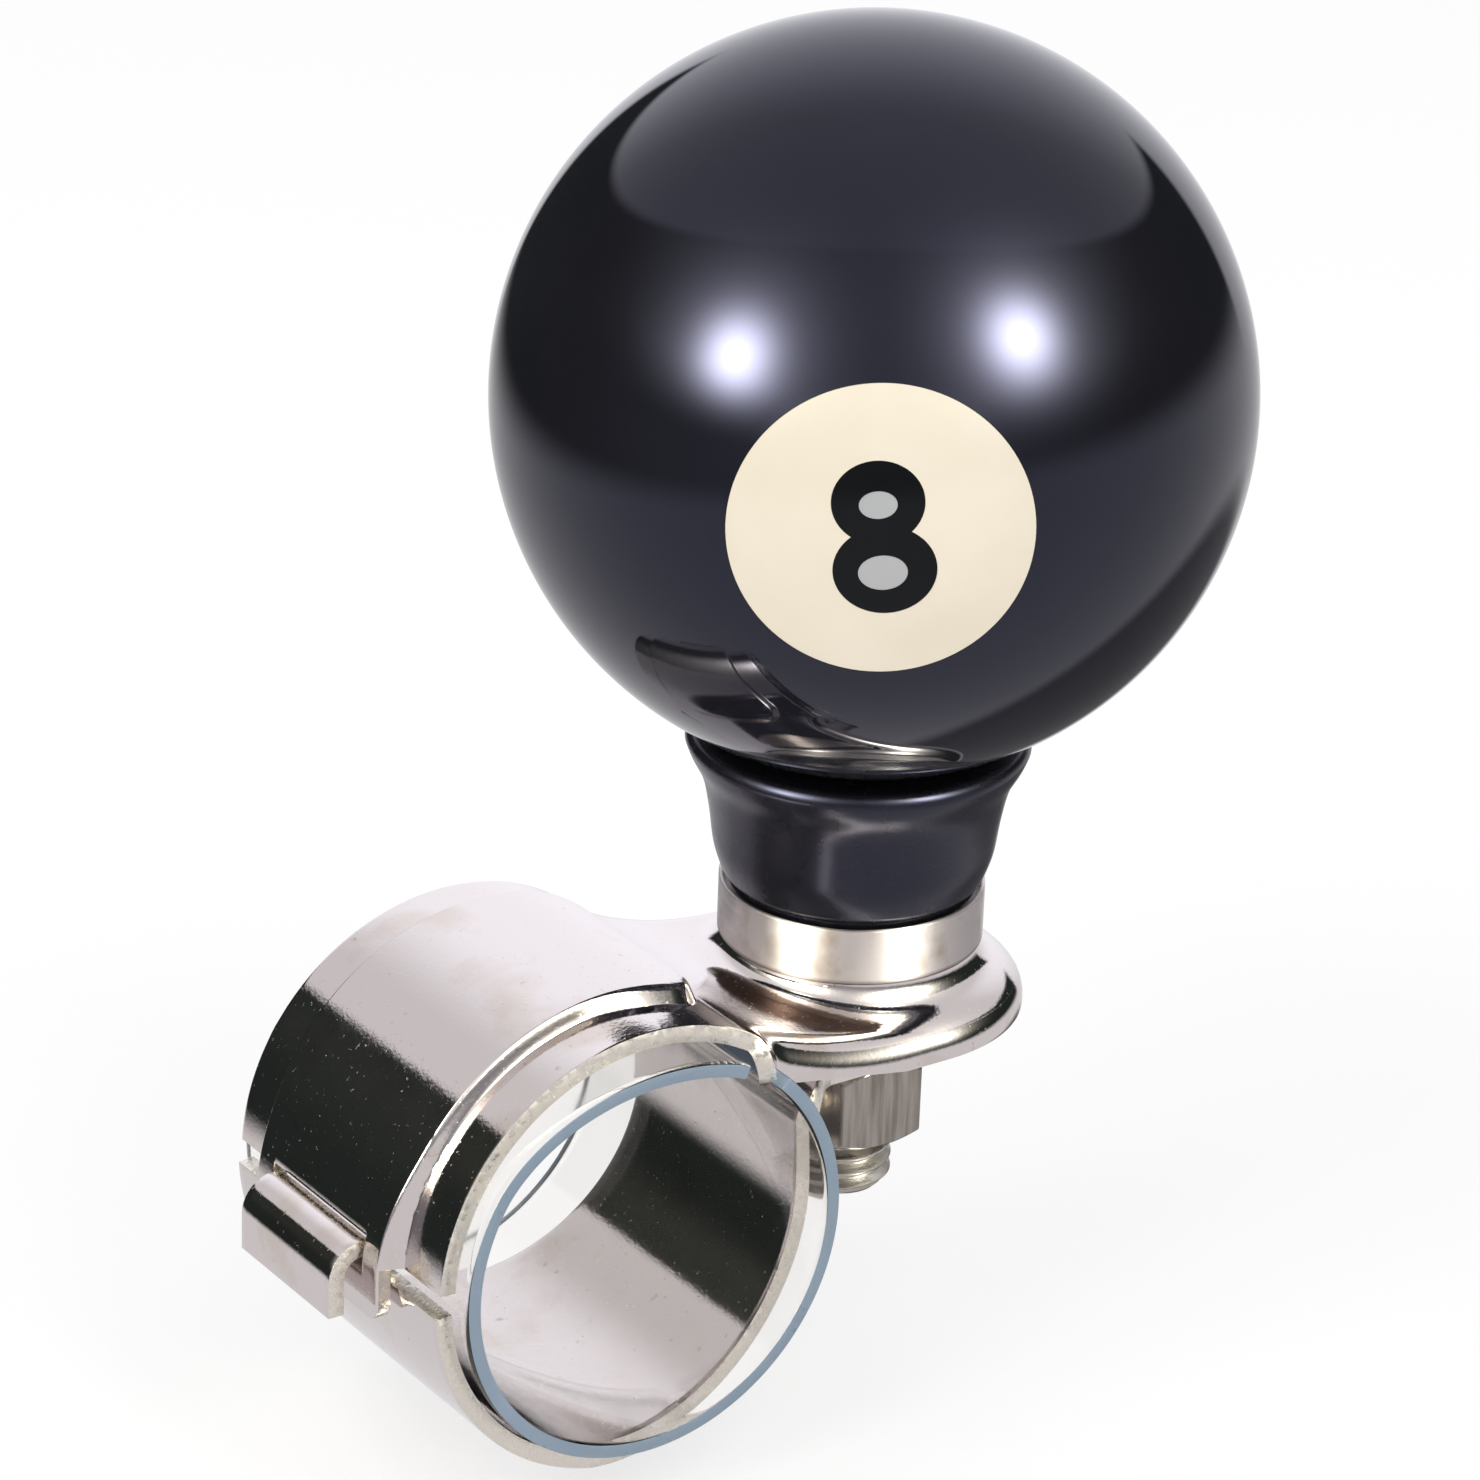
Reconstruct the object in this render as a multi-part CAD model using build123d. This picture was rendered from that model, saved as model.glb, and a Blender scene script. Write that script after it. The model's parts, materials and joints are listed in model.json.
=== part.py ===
from build123d import *
import math
import os

# Steering-wheel spinner knob: an eight ball on a bearing neck, bolted to a
# two-piece stamped rim clamp.  Millimetres.  Origin: centre of the rim bore.
# +X runs from the rim to the knob, +Y along the rim, +Z along the knob's axis.

# ---------------------------------------------------------------- dimensions
# Rim bore, liner and sheet
RIM_R = 15.3                 # radius of the bore that grips the wheel rim
LINER_T = 1.1                # wall of the soft sleeve
LINER_LENGTH = 32.0
SLIT_FROM = 46.0             # the sleeve's slit, degrees from +X
SLIT_TO = 60.0
SHEET = 1.3                  # thickness of both stampings
BAND_STEP = 0.6              # the clamp's bands stand out this far past the platform's rim
RUN_GAP = 0.35               # air between parts that move past each other
SEAT_GAP = 0.05              # air between parts that only rest together

# Knob axis and the levels on it
KNOB_X = 28.0
PLATE_TOP = 10.9             # top of the platform
SKIRT_LOW = 8.0              # lower edge of the platform's turned-down skirt
SKIRT_HIGH = 10.0            # the same edge where the arch begins
PLATE_R = 13.6               # rounded end of the platform
PLATE_ROUND = 2.5            # bend at the platform's rim
RIM_WAIST = 10.5             # where the arch's open side becomes the platform's rim
ARCH_BLEND = 30.0            # long concave sweep from arch to platform
BOSS_TOP = 13.4
BOSS_R = 9.7
BOSS_FLARE = 2.4

# Raised panel and the tongue with its window
PANEL_HALF = 8.7             # half width of the raised panel's crown
PANEL_SLOPE = 1.6            # how much wider its foot is on each side
PANEL_END = 68.0             # where it stops on the arch, degrees from +X
PANEL_ROUND = 0.7
PANEL_CORNER = 3.0           # rounded end corners, seen from above
SKIRT_X0 = 12.2              # the skirt's edge slopes between these two stations
SKIRT_X1 = 24.0
BAND_END = 0.9               # level where the arch's side bands stop
TONGUE_LOW = -3.4
WINDOW_HALF = 6.6
WINDOW_TOP = 2.6

# Lower strap and its hook
SHOULDER = -0.9
HOOK_HALF = 6.3
HOOK_BEND = 1.5              # inside radius of the hook
HOOK_LEVEL = -0.5            # centre of the bend
HOOK_TIP = -3.4
EAR_LOW = 5.95               # underside of the bolted ear
EAR_BEND = 1.2
EAR_R = 9.3
STRAP_NARROW = 10.8          # half width where the strap meets the ear

# Fastening
STUD_R = 4.0                 # M8
STUD_END = -8.2
NUT_FLATS = 12.0
NUT_HEIGHT = 6.8
NUT_TURNED = -5.0            # corner direction, degrees about the knob axis
WASHER_R = 6.35
WASHER_T = 1.95
EAR_HOLE_R = 4.8

# Bearing cup, spindle and ball bearing (6 x 15 x 5)
CUP_R = 10.25
CUP_TOP = 18.0
CUP_LIP = 0.35
CUP_FLOOR = 0.9
COLLAR_R = 7.0
COLLAR_T = 2.2
BEARING_LOW = 18.3
BEARING_T = 5.0
BEARING_BORE_R = 3.0
BEARING_R = 7.5
INNER_RACE_R = 4.2
OUTER_RACE_R = 6.3
BALL_PITCH_R = 5.25
RACE_BALL_R = 1.15
RACE_BALLS = 7
CAGE_T = 1.1
CAGE_HEIGHT = 3.2
CLIP_T = 0.7
SPINDLE_TOP = 25.2

# Neck, ball and number discs
NECK_LOW = 17.5
NECK_TOP = 30.4
NECK_RIM_R = 13.2
NECK_SIDE = [                # the neck's side: shares of the way out and up, cup to rim
    (0.186, 0.234),
    (0.271, 0.371),
    (0.407, 0.565),
    (0.593, 0.718),
    (0.881, 0.847),
]
BALL_R = 28.575              # 2 1/4 inch pool ball
BALL_SEAT_R = 9.9            # the circle on which the neck carries the ball
DISC_R = 10.9
DISC_DEPTH = 3.0
NUMERAL_DEPTH = 1.2
NUMERAL_H = 11.5
NUMERAL_LEAN = 5.0
DISC_FACING = -124.5         # the front disc's heading about the knob axis
INSERT_R = 6.0
INSERT_LENGTH = 14.0

# ------------------------------------------------------------ derived sizes
LINER_R = RIM_R + LINER_T
ARCH_IN = LINER_R + SEAT_GAP
STRAP_IN = LINER_R + RUN_GAP
STRAP_MID = STRAP_IN + SHEET / 2
PANEL_IN = STRAP_IN + SHEET + RUN_GAP
BAND_HALF = PLATE_R + BAND_STEP
CLAMP_WIDTH = 2 * BAND_HALF
WINDOW_LOW = HOOK_LEVEL + 0.3    # the hook hangs over the bar under the window
HOOK_MID_R = HOOK_BEND + SHEET / 2
WALL_RUN = PANEL_SLOPE / (PANEL_IN - ARCH_IN)
BALL_Z = NECK_TOP + math.sqrt(BALL_R ** 2 - BALL_SEAT_R ** 2)


def polar(radius, degrees):
    """A point on the XZ section, measured from +X towards +Z."""
    a = math.radians(degrees)
    return (radius * math.cos(a), radius * math.sin(a))


def along_rim(section, width):
    """Extrude an XZ section equally both ways along the rim."""
    return extrude(Plane.XZ * section, amount=width / 2, both=True)


def block(x0, x1, y0, y1, z0, z1):
    """A box given by its limits."""
    centre = ((x0 + x1) / 2, (y0 + y1) / 2, (z0 + z1) / 2)
    return Pos(*centre) * Box(x1 - x0, y1 - y0, z1 - z0)


def rod(radius, z0, z1, x=KNOB_X):
    """A cylinder on the knob's axis between two levels."""
    return Pos(x, 0, (z0 + z1) / 2) * Cylinder(radius, z1 - z0)


def tube(outer, inner, z0, z1):
    """A ring on the knob's axis."""
    return rod(outer, z0, z1) - rod(inner, z0 - 1, z1 + 1)


def turned(points):
    """Turn an (r, z) outline about the knob's axis."""
    outline = make_face(Polyline(*points, close=True))
    return Pos(KNOB_X, 0, 0) * revolve(Plane.XZ * outline, axis=Axis.Z)


# -------------------------------------------------------------- upper clamp
def arch_section(inset):
    """Side view of one skin: the arch, swept down onto the flat platform."""
    arch = ARCH_IN + SHEET - inset
    top = PLATE_TOP - inset
    sweep = ARCH_BLEND + inset
    reach = math.sqrt((arch + sweep) ** 2 - (top + sweep) ** 2)
    share = arch / (arch + sweep)
    leave = (reach * share, (top + sweep) * share)
    half_way = math.atan2(-sweep - top, -reach) / 2 - math.pi / 4
    middle = (reach + sweep * math.cos(half_way), top + sweep + sweep * math.sin(half_way))
    slope = Line((0, 0), leave)
    slope += ThreePointArc(leave, middle, (reach, top))
    slope += Polyline((reach, top), (KNOB_X, top), (KNOB_X, 0), (0, 0))
    return Circle(arch) + make_face(slope)


def arch_plan(inset):
    """Top view of the same skin, as far as the waist where the rolled rim begins."""
    wide = BAND_HALF + (SHEET if inset else 0)
    mouth = RIM_WAIST + (0.5 * SHEET if inset else 0)
    return Pos((mouth - 60) / 2, 0) * Rectangle(mouth + 60, 2 * wide)


def panel_blank(inset):
    """The raised panel: a drafted strip swept round the arch, rounded at its end."""
    crown = PANEL_IN + SHEET - inset
    half = PANEL_HALF - inset * math.hypot(1, WALL_RUN) + inset * WALL_RUN
    foot = ARCH_IN - 3.0
    foot_half = half + (crown - foot) * WALL_RUN
    outline = Polyline(
        (foot, -foot_half),
        (crown, -half),
        (crown, half),
        (foot, foot_half),
        close=True,
    )
    strip = revolve(make_face(outline), axis=Axis.Y, revolution_arc=-(183 - PANEL_END))
    strip = strip.rotate(Axis.Y, -PANEL_END)
    end = strip.faces().sort_by(Axis.X)[-1]
    corners = end.edges().filter_by(lambda e: abs(e.tangent_at(0.5).Y) < 0.9)
    strip = fillet(corners, PANEL_CORNER - inset)
    top = [f for f in strip.faces().filter_by(GeomType.CYLINDER) if abs(f.radius - crown) < 0.01][0]
    rim = top.edges().filter_by(lambda e: e.center().X > -0.98 * crown)
    return fillet(rim, PANEL_ROUND)


def platform_blank(inset):
    """The platform: the same skin from the waist on, round-ended, with rolled edges."""
    half = PLATE_R - inset
    plan = Pos(KNOB_X, 0) * Circle(half)
    plan += Pos((RIM_WAIST + KNOB_X) / 2, 0) * Rectangle(KNOB_X - RIM_WAIST, 2 * half)
    low = SKIRT_LOW - 3
    section = arch_section(inset)
    section += Pos(KNOB_X + PLATE_R, low) * Rectangle(2 * PLATE_R + 1, 2 * (PLATE_TOP - inset - low))
    tray = along_rim(section, 60) & Pos(0, 0, low) * extrude(plan, amount=60)
    rim = tray.edges().filter_by(
        lambda e: e.bounding_box().min.Z > low + 0.1
        and (abs(e.center().Y) > 0.9 * half or e.center().X > KNOB_X + 1)
    )
    return fillet(rim, PLATE_ROUND - inset)


def clamp_blank(inset):
    """One skin of the upper clamp; the sheet lies between two of them."""
    arch = along_rim(arch_section(inset), 3 * CLAMP_WIDTH)
    arch = arch & Pos(0, 0, BAND_END - inset) * extrude(arch_plan(inset), amount=60)
    panel = panel_blank(inset) & block(-60, 60, -60, 60, BAND_END - inset, 60)
    return arch + platform_blank(inset) + panel


def boss_blank(inset):
    """One skin of the drawn boss: a short neck flaring into the platform."""
    base = PLATE_TOP - inset
    wall = BOSS_R - inset
    sweep = BOSS_FLARE + inset
    foot = wall + sweep
    top = BOSS_TOP - inset
    rise = min(sweep, top - base - 0.05)
    start = wall + sweep - math.sqrt(sweep ** 2 - (sweep - rise) ** 2)
    middle_z = base + rise * 0.29
    middle_r = foot - math.sqrt(sweep ** 2 - (sweep - (middle_z - base)) ** 2)
    low = PLATE_TOP - SHEET - (1 if inset else 0)
    outline = [
        Polyline((0, top), (0, low), (foot, low), (foot, base)),
        ThreePointArc((foot, base), (middle_r, middle_z), (start, base + rise)),
        Polyline((start, base + rise), (start, top), (0, top)),
    ]
    return Pos(KNOB_X, 0, 0) * revolve(Plane.XZ * make_face(outline), axis=Axis.Z)


def upper_clamp():
    """Stamped upper half: arch, raised panel, slotted tongue, platform and boss."""
    shell = clamp_blank(0) - clamp_blank(SHEET)

    # Below the skirt line, and below the bands, the blank is trimmed away.
    skirt = Polyline(
        (SKIRT_X0, -60),
        (SKIRT_X0, SKIRT_HIGH),
        (SKIRT_X1, SKIRT_LOW),
        (60, SKIRT_LOW),
        (60, -60),
        close=True,
    )
    shell -= along_rim(make_face(skirt), 60)
    shell -= block(-60, SKIRT_X0, -60, 60, -60, BAND_END)
    shell -= block(0, SKIRT_X0 + 0.01, -60, 60, -60, SKIRT_HIGH)
    shell -= along_rim(Circle(ARCH_IN), 60)

    # The tongue carries the panel down outside the strap.
    tongue = block(
        -PANEL_IN - SHEET, -PANEL_IN, -PANEL_HALF, PANEL_HALF, TONGUE_LOW, BAND_END + 0.8
    )
    corners = tongue.edges().filter_by(Axis.X).sort_by(Axis.Z)[:2]
    tongue = fillet(corners, 1.2)
    outside = Circle(PANEL_IN + SHEET) + Pos(-PANEL_IN, -20) * Rectangle(2 * SHEET, 40)
    tongue &= along_rim(outside, 60)
    shell += tongue

    # A drawn boss lifts the spindle's seat off the platform.
    shell += boss_blank(0)
    shell -= boss_blank(SHEET)
    shell -= rod(STUD_R + 0.02, 0, 30)

    # The strap's hook passes out through this window.
    return shell - block(-30, -10, -WINDOW_HALF, WINDOW_HALF, WINDOW_LOW, WINDOW_TOP)


def rim_liner():
    """Soft split sleeve, round as a rim presses it; its slit lies under the arch."""
    wall = Circle(LINER_R) - Circle(RIM_R)
    reach = 2 * LINER_R
    slit = Polyline((0, 0), polar(reach, SLIT_FROM), polar(reach, SLIT_TO), close=True)
    return along_rim(wall - make_face(slit), LINER_LENGTH)


# -------------------------------------------------------------- lower strap
def lower_strap():
    """Stamped lower half: hook, half round and bolted ear, one strip of sheet."""
    level = EAR_LOW + SHEET / 2
    hook_x = -math.sqrt(STRAP_MID ** 2 - HOOK_LEVEL ** 2)
    far_x = hook_x - 2 * HOOK_MID_R
    bend = EAR_BEND + SHEET / 2
    path = Line((far_x, HOOK_TIP), (far_x, HOOK_LEVEL))
    path += ThreePointArc(
        (far_x, HOOK_LEVEL),
        ((far_x + hook_x) / 2, HOOK_LEVEL + HOOK_MID_R),
        (hook_x, HOOK_LEVEL),
    )
    path += ThreePointArc((hook_x, HOOK_LEVEL), (0, -STRAP_MID), (STRAP_MID, 0))
    path += Line((STRAP_MID, 0), (STRAP_MID, level - bend))
    path += RadiusArc((STRAP_MID, level - bend), (STRAP_MID + bend, level), bend)
    path += Line((STRAP_MID + bend, level), (KNOB_X + EAR_R, level))
    strip = along_rim(trace(path, line_width=SHEET), CLAMP_WIDTH)

    # Top view: full width round the rim, tapering to the ear.
    half = [
        (-60, BAND_HALF),
        (-4, BAND_HALF),
        (STRAP_IN, STRAP_NARROW),
        (STRAP_IN + SHEET + EAR_BEND, EAR_R),
        (KNOB_X, EAR_R),
    ]
    plan = make_face(Polyline(*half, *[(x, -y) for x, y in reversed(half)], close=True))
    plan += Pos(KNOB_X, 0) * Circle(EAR_R)
    strip &= Pos(0, 0, -40) * extrude(plan, amount=80)

    # Shoulders beside the hook.
    for side in (-1, 1):
        y0, y1 = sorted((side * HOOK_HALF, side * 60))
        strip -= block(-60, -5, y0, y1, SHOULDER, 60)
        strip -= block(-60, -STRAP_IN - SHEET - 0.3, y0, y1, -60, 60)
    hole = Pos(KNOB_X, 0) * SlotCenterToCenter(1.6, 2 * EAR_HOLE_R)
    return strip - Pos(0, 0, EAR_LOW - 5) * extrude(hole, amount=12)


# ---------------------------------------------------------------- fastening
def lock_washer():
    """Split spring washer under the ear."""
    low = EAR_LOW - SEAT_GAP - WASHER_T
    ring = tube(WASHER_R, STUD_R + RUN_GAP, low, low + WASHER_T)
    slit = Pos(KNOB_X, 0, low) * Rot(0, 0, 200) * block(2, 9, -0.6, 0.6, -1, WASHER_T + 1)
    return ring - slit


def clamp_nut():
    """Hexagon nut, chamfered at both faces."""
    high = EAR_LOW - 2 * SEAT_GAP - WASHER_T
    low = high - NUT_HEIGHT
    corner_r = NUT_FLATS / math.sqrt(3)
    hexagon = RegularPolygon(corner_r, 6, rotation=NUT_TURNED)
    blank = Pos(KNOB_X, 0, low) * extrude(hexagon, amount=NUT_HEIGHT)
    face_r = NUT_FLATS / 2 - 0.2
    drop = (corner_r - face_r) * math.tan(math.radians(35))
    blank &= turned([
        (0, low),
        (face_r, low),
        (corner_r + 0.01, low + drop),
        (corner_r + 0.01, high - drop),
        (face_r, high),
        (0, high),
    ])
    return blank - turned([
        (0, low - 1),
        (STUD_R + 0.5, low - 1),
        (STUD_R + 0.5, low),
        (STUD_R + 0.06, low + 0.44),
        (STUD_R + 0.06, high - 0.44),
        (STUD_R + 0.5, high),
        (STUD_R + 0.5, high + 1),
        (0, high + 1),
    ])


# ------------------------------------------------------- spindle and bearing
def bearing_cup():
    """Turned ring on the boss: floor, wall and a thin lip round the neck's foot."""
    lip = CUP_R - CUP_LIP
    return turned([
        (STUD_R + 0.02, BOSS_TOP),
        (CUP_R - 0.2, BOSS_TOP),
        (CUP_R, BOSS_TOP + 0.2),
        (CUP_R, CUP_TOP - 0.15),
        (CUP_R - 0.15, CUP_TOP),
        (lip, CUP_TOP),
        (lip, NECK_LOW - 0.6),
        (COLLAR_R + 0.2, NECK_LOW - 0.6),
        (COLLAR_R + 0.2, BOSS_TOP + CUP_FLOOR),
        (STUD_R + 0.02, BOSS_TOP + CUP_FLOOR),
    ])


def spindle():
    """Fixed steel spindle: threaded stud, collar, bearing journal, clip groove."""
    seat = BOSS_TOP + CUP_FLOOR
    clip = BEARING_LOW + BEARING_T
    shoulder_r = INNER_RACE_R
    journal = BEARING_BORE_R - 0.01
    return turned([
        (0, STUD_END),
        (STUD_R - 0.9, STUD_END),
        (STUD_R, STUD_END + 0.9),
        (STUD_R, seat),
        (COLLAR_R, seat),
        (COLLAR_R, seat + COLLAR_T - 0.3),
        (COLLAR_R - 0.3, seat + COLLAR_T),
        (shoulder_r, seat + COLLAR_T),
        (shoulder_r, BEARING_LOW),
        (journal, BEARING_LOW),
        (journal, clip),
        (journal - 0.5, clip),
        (journal - 0.5, clip + CLIP_T + 0.1),
        (journal, clip + CLIP_T + 0.1),
        (journal, SPINDLE_TOP - 0.5),
        (journal - 0.5, SPINDLE_TOP),
        (0, SPINDLE_TOP),
    ])


def retaining_clip():
    """E-clip in the spindle's groove, above the inner race."""
    low = BEARING_LOW + BEARING_T
    inner = BEARING_BORE_R - 0.5
    clip = tube(inner + 1.9, inner, low + 0.02, low + 0.02 + CLIP_T)
    mouth = block(0, 9, -1.6, 1.6, -1, CLIP_T + 1)
    clip -= Pos(KNOB_X, 0, low) * mouth
    for side in (60, 180, 300):
        clip -= Pos(KNOB_X, 0, 0) * Rot(0, 0, side) * rod(0.7, low - 1, low + 2, inner + 0.75)
    return clip


def race_groove():
    """The ring that the bearing balls roll in, cut from both races."""
    level = BEARING_LOW + BEARING_T / 2
    return Pos(KNOB_X, 0, level) * Torus(BALL_PITCH_R, RACE_BALL_R + 0.3)


def bearing_inner_race():
    race = tube(INNER_RACE_R, BEARING_BORE_R, BEARING_LOW, BEARING_LOW + BEARING_T)
    return race - race_groove()


def bearing_outer_race():
    race = tube(BEARING_R, OUTER_RACE_R, BEARING_LOW, BEARING_LOW + BEARING_T)
    return race - race_groove()


def bearing_shield(level):
    """Thin ring closing one side of the bearing, held by the outer race."""
    return tube(OUTER_RACE_R, INNER_RACE_R + RUN_GAP, level, level + 0.3)


def ball_places():
    """Where each bearing ball stands on the pitch circle."""
    level = BEARING_LOW + BEARING_T / 2
    centre = Pos(KNOB_X, 0, level)
    return [centre * Rot(0, 0, 360 * i / RACE_BALLS) * Pos(BALL_PITCH_R, 0, 0)
            for i in range(RACE_BALLS)]


def bearing_balls():
    return Compound([place * Sphere(RACE_BALL_R) for place in ball_places()])


def bearing_cage():
    """Ring that spaces the balls, with a pocket for each."""
    level = BEARING_LOW + BEARING_T / 2
    half = CAGE_T / 2
    ring = tube(BALL_PITCH_R + half, BALL_PITCH_R - half, level - CAGE_HEIGHT / 2, level + CAGE_HEIGHT / 2)
    for place in ball_places():
        ring -= place * Rot(0, 90, 0) * Cylinder(RACE_BALL_R + 0.08, 2 * CAGE_T)
    return ring


# ------------------------------------------------------------- neck and ball
def ball_blank(radius=BALL_R):
    return Pos(KNOB_X, 0, BALL_Z) * Sphere(radius)


def neck():
    """Moulded neck: flared cup for the ball, foot inside the cup's lip."""
    foot_r = CUP_R - CUP_LIP - 0.35
    top = BEARING_LOW + BEARING_T
    flare = NECK_RIM_R - CUP_R
    rise = NECK_TOP - CUP_TOP
    side = Spline(
        (CUP_R - 0.15, CUP_TOP + 0.75),
        *[(CUP_R + out * flare, CUP_TOP + up * rise) for out, up in NECK_SIDE],
        (NECK_RIM_R, NECK_TOP - 1.0),
    )
    rim = ThreePointArc(
        (NECK_RIM_R, NECK_TOP - 1.0),
        (NECK_RIM_R - 0.12, NECK_TOP - 0.25),
        (NECK_RIM_R - 0.7, NECK_TOP),
    )
    outline = [
        Polyline(
            (0, NECK_TOP),
            (0, top + 3.0),
            (INNER_RACE_R + 2.0, top + 3.0),
            (INNER_RACE_R + 2.0, top),
            (BEARING_R, top),
            (BEARING_R, NECK_LOW),
            (foot_r - 0.3, NECK_LOW),
            (foot_r, NECK_LOW + 0.3),
            (foot_r, CUP_TOP + 0.3),
            (CUP_R - 0.15, CUP_TOP + 0.75),
        ),
        side,
        rim,
        Line((NECK_RIM_R - 0.7, NECK_TOP), (0, NECK_TOP)),
    ]
    body = revolve(Plane.XZ * make_face(outline), axis=Axis.Z)
    body = Pos(KNOB_X, 0, 0) * body - ball_blank(BALL_R + SEAT_GAP)
    return body - rod(STUD_R, top, NECK_TOP)


def neck_stud():
    """Threaded stud moulded into the neck that screws into the ball."""
    low = BEARING_LOW + BEARING_T + 3.2
    high = BALL_Z - BALL_R + INSERT_LENGTH - 1.5
    stud = rod(STUD_R - 0.01, low, high)
    return chamfer(stud.edges().filter_by(GeomType.CIRCLE), 0.6)


def ball_insert():
    """Knurled brass bush in the ball's bore."""
    low = BALL_Z - BALL_R + 0.8
    return tube(INSERT_R, STUD_R + 0.02, low, low + INSERT_LENGTH)


def facing(flip):
    """A frame on the ball: its Z points out through a number disc."""
    heading = Rot(0, 0, DISC_FACING + (180 if flip else 0))
    return Pos(KNOB_X, 0, BALL_Z) * heading * Rot(0, 90, 0) * Rot(0, 0, 90)


def numeral_outline():
    """The figure eight: two overlapping lobes with their counters."""
    k = NUMERAL_H / 11.5
    eight = Pos(-0.1 * k, 2.72 * k) * Ellipse(3.3 * k, 3.03 * k)
    eight += Pos(0.15 * k, -2.35 * k) * Ellipse(3.68 * k, 3.4 * k)
    eight -= Pos(-0.1 * k, 2.6 * k) * Ellipse(1.36 * k, 1.0 * k)
    eight -= Pos(0.0, -2.5 * k) * Ellipse(1.75 * k, 1.35 * k)
    return Rot(0, 0, NUMERAL_LEAN) * eight


def plug(outline, depth, flip):
    """A piece of the ball's skin under an outline, to a depth."""
    tool = facing(flip) * Pos(0, 0, BALL_R - depth) * extrude(outline, amount=depth + 2)
    return tool & ball_blank()


def number_disc(flip):
    disc = plug(Circle(DISC_R), DISC_DEPTH + 2.2, flip)
    return disc - numeral(flip)


def numeral(flip):
    return plug(numeral_outline(), NUMERAL_DEPTH, flip)


def ball():
    """Cast resin ball, bored for the bush and pocketed for the number discs."""
    body = ball_blank()
    for flip in (False, True):
        body -= plug(Circle(DISC_R), DISC_DEPTH + 2.2, flip)
    low = BALL_Z - BALL_R
    body -= rod(INSERT_R, low - 1, low + INSERT_LENGTH + 1.5)
    return body


NODES = {
    "upper_clamp": upper_clamp(),
    "rim_liner": rim_liner(),
    "lower_strap": lower_strap(),
    "lock_washer": lock_washer(),
    "clamp_nut": clamp_nut(),
    "bearing_cup": bearing_cup(),
    "spindle": spindle(),
    "retaining_clip": retaining_clip(),
    "bearing_inner_race": bearing_inner_race(),
    "bearing_outer_race": bearing_outer_race(),
    "bearing_lower_shield": bearing_shield(BEARING_LOW + 0.2),
    "bearing_upper_shield": bearing_shield(BEARING_LOW + BEARING_T - 0.5),
    "bearing_balls": bearing_balls(),
    "bearing_cage": bearing_cage(),
    "neck": neck(),
    "neck_stud": neck_stud(),
    "ball_insert": ball_insert(),
    "ball": ball(),
    "front_number_disc": number_disc(False),
    "rear_number_disc": number_disc(True),
    "front_numeral": numeral(False),
    "rear_numeral": numeral(True),
}

os.makedirs("parts", exist_ok=True)
for name, shape in NODES.items():
    export_step(shape, f"parts/{name}.step")
    box = shape.bounding_box()
    print(
        f"{name:22s} solids {len(shape.solids())}  volume {shape.volume:9.1f} mm3  "
        f"x {box.min.X:6.1f} {box.max.X:6.1f}  y {box.min.Y:6.1f} {box.max.Y:6.1f}  "
        f"z {box.min.Z:6.1f} {box.max.Z:6.1f}"
    )
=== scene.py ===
# %% [markdown]
# # A spinner knob for a steering wheel
# A black eight ball stands on a flared plastic neck. The neck turns on a bearing in a bright
# ring, and a stamped two-piece clamp with a clear sleeve grips the wheel's rim. The working
# model already exists as a fixed frame, so this lesson only dresses it: each piece is rebuilt
# with the soft bends and clean reflections that polished things need, and gets its finish.

# %% Load the frame
import json
import math

import bpy
import numpy as np
from mathutils import Matrix, Vector


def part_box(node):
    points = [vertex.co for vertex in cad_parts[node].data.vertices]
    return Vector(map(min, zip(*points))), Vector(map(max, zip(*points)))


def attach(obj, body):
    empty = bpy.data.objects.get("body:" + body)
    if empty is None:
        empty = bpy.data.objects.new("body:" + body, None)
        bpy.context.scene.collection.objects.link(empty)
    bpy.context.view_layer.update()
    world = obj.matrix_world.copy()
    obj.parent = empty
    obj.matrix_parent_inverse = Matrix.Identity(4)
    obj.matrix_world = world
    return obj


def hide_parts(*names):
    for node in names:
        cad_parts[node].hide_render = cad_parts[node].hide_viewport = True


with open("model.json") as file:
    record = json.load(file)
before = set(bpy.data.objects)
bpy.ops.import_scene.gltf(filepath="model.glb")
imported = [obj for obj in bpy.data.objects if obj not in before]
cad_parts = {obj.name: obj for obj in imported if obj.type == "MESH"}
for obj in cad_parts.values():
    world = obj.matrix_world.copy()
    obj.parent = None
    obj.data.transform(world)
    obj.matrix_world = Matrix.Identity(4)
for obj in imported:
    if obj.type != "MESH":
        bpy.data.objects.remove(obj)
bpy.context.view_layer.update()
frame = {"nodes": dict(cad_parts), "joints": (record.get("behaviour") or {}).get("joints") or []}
print("nodes:", ", ".join(frame["nodes"]))

# %% [markdown]
# ## Sizes from the frame
# Blender works in metres and a maker thinks in millimetres, so every piece is drawn in
# millimetres and scaled once, when its mesh is made. Places could be fitted by eye, but they
# come from the frame's boxes, so a piece lands exactly where the working model has it.

# %% Read the sizes that the frame holds
MM = 0.001


def box_mm(node):
    """A CAD node's lowest and highest corners, in millimetres."""
    low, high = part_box(node)
    return low / MM, high / MM


joints = {joint["name"]: joint for joint in frame["joints"]}
knob_x = joints["knob_spin"]["pos_m"][0] / MM
clamp_low, clamp_high = box_mm("upper_clamp")
_, sleeve_high = box_mm("rim_liner")
ball_low, ball_high = box_mm("ball")
neck_low, neck_high = box_mm("neck")
cup_low, cup_high = box_mm("bearing_cup")
nut_low, nut_high = box_mm("clamp_nut")
washer_low, washer_high = box_mm("lock_washer")
stud_low, stud_high = box_mm("spindle")

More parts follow.
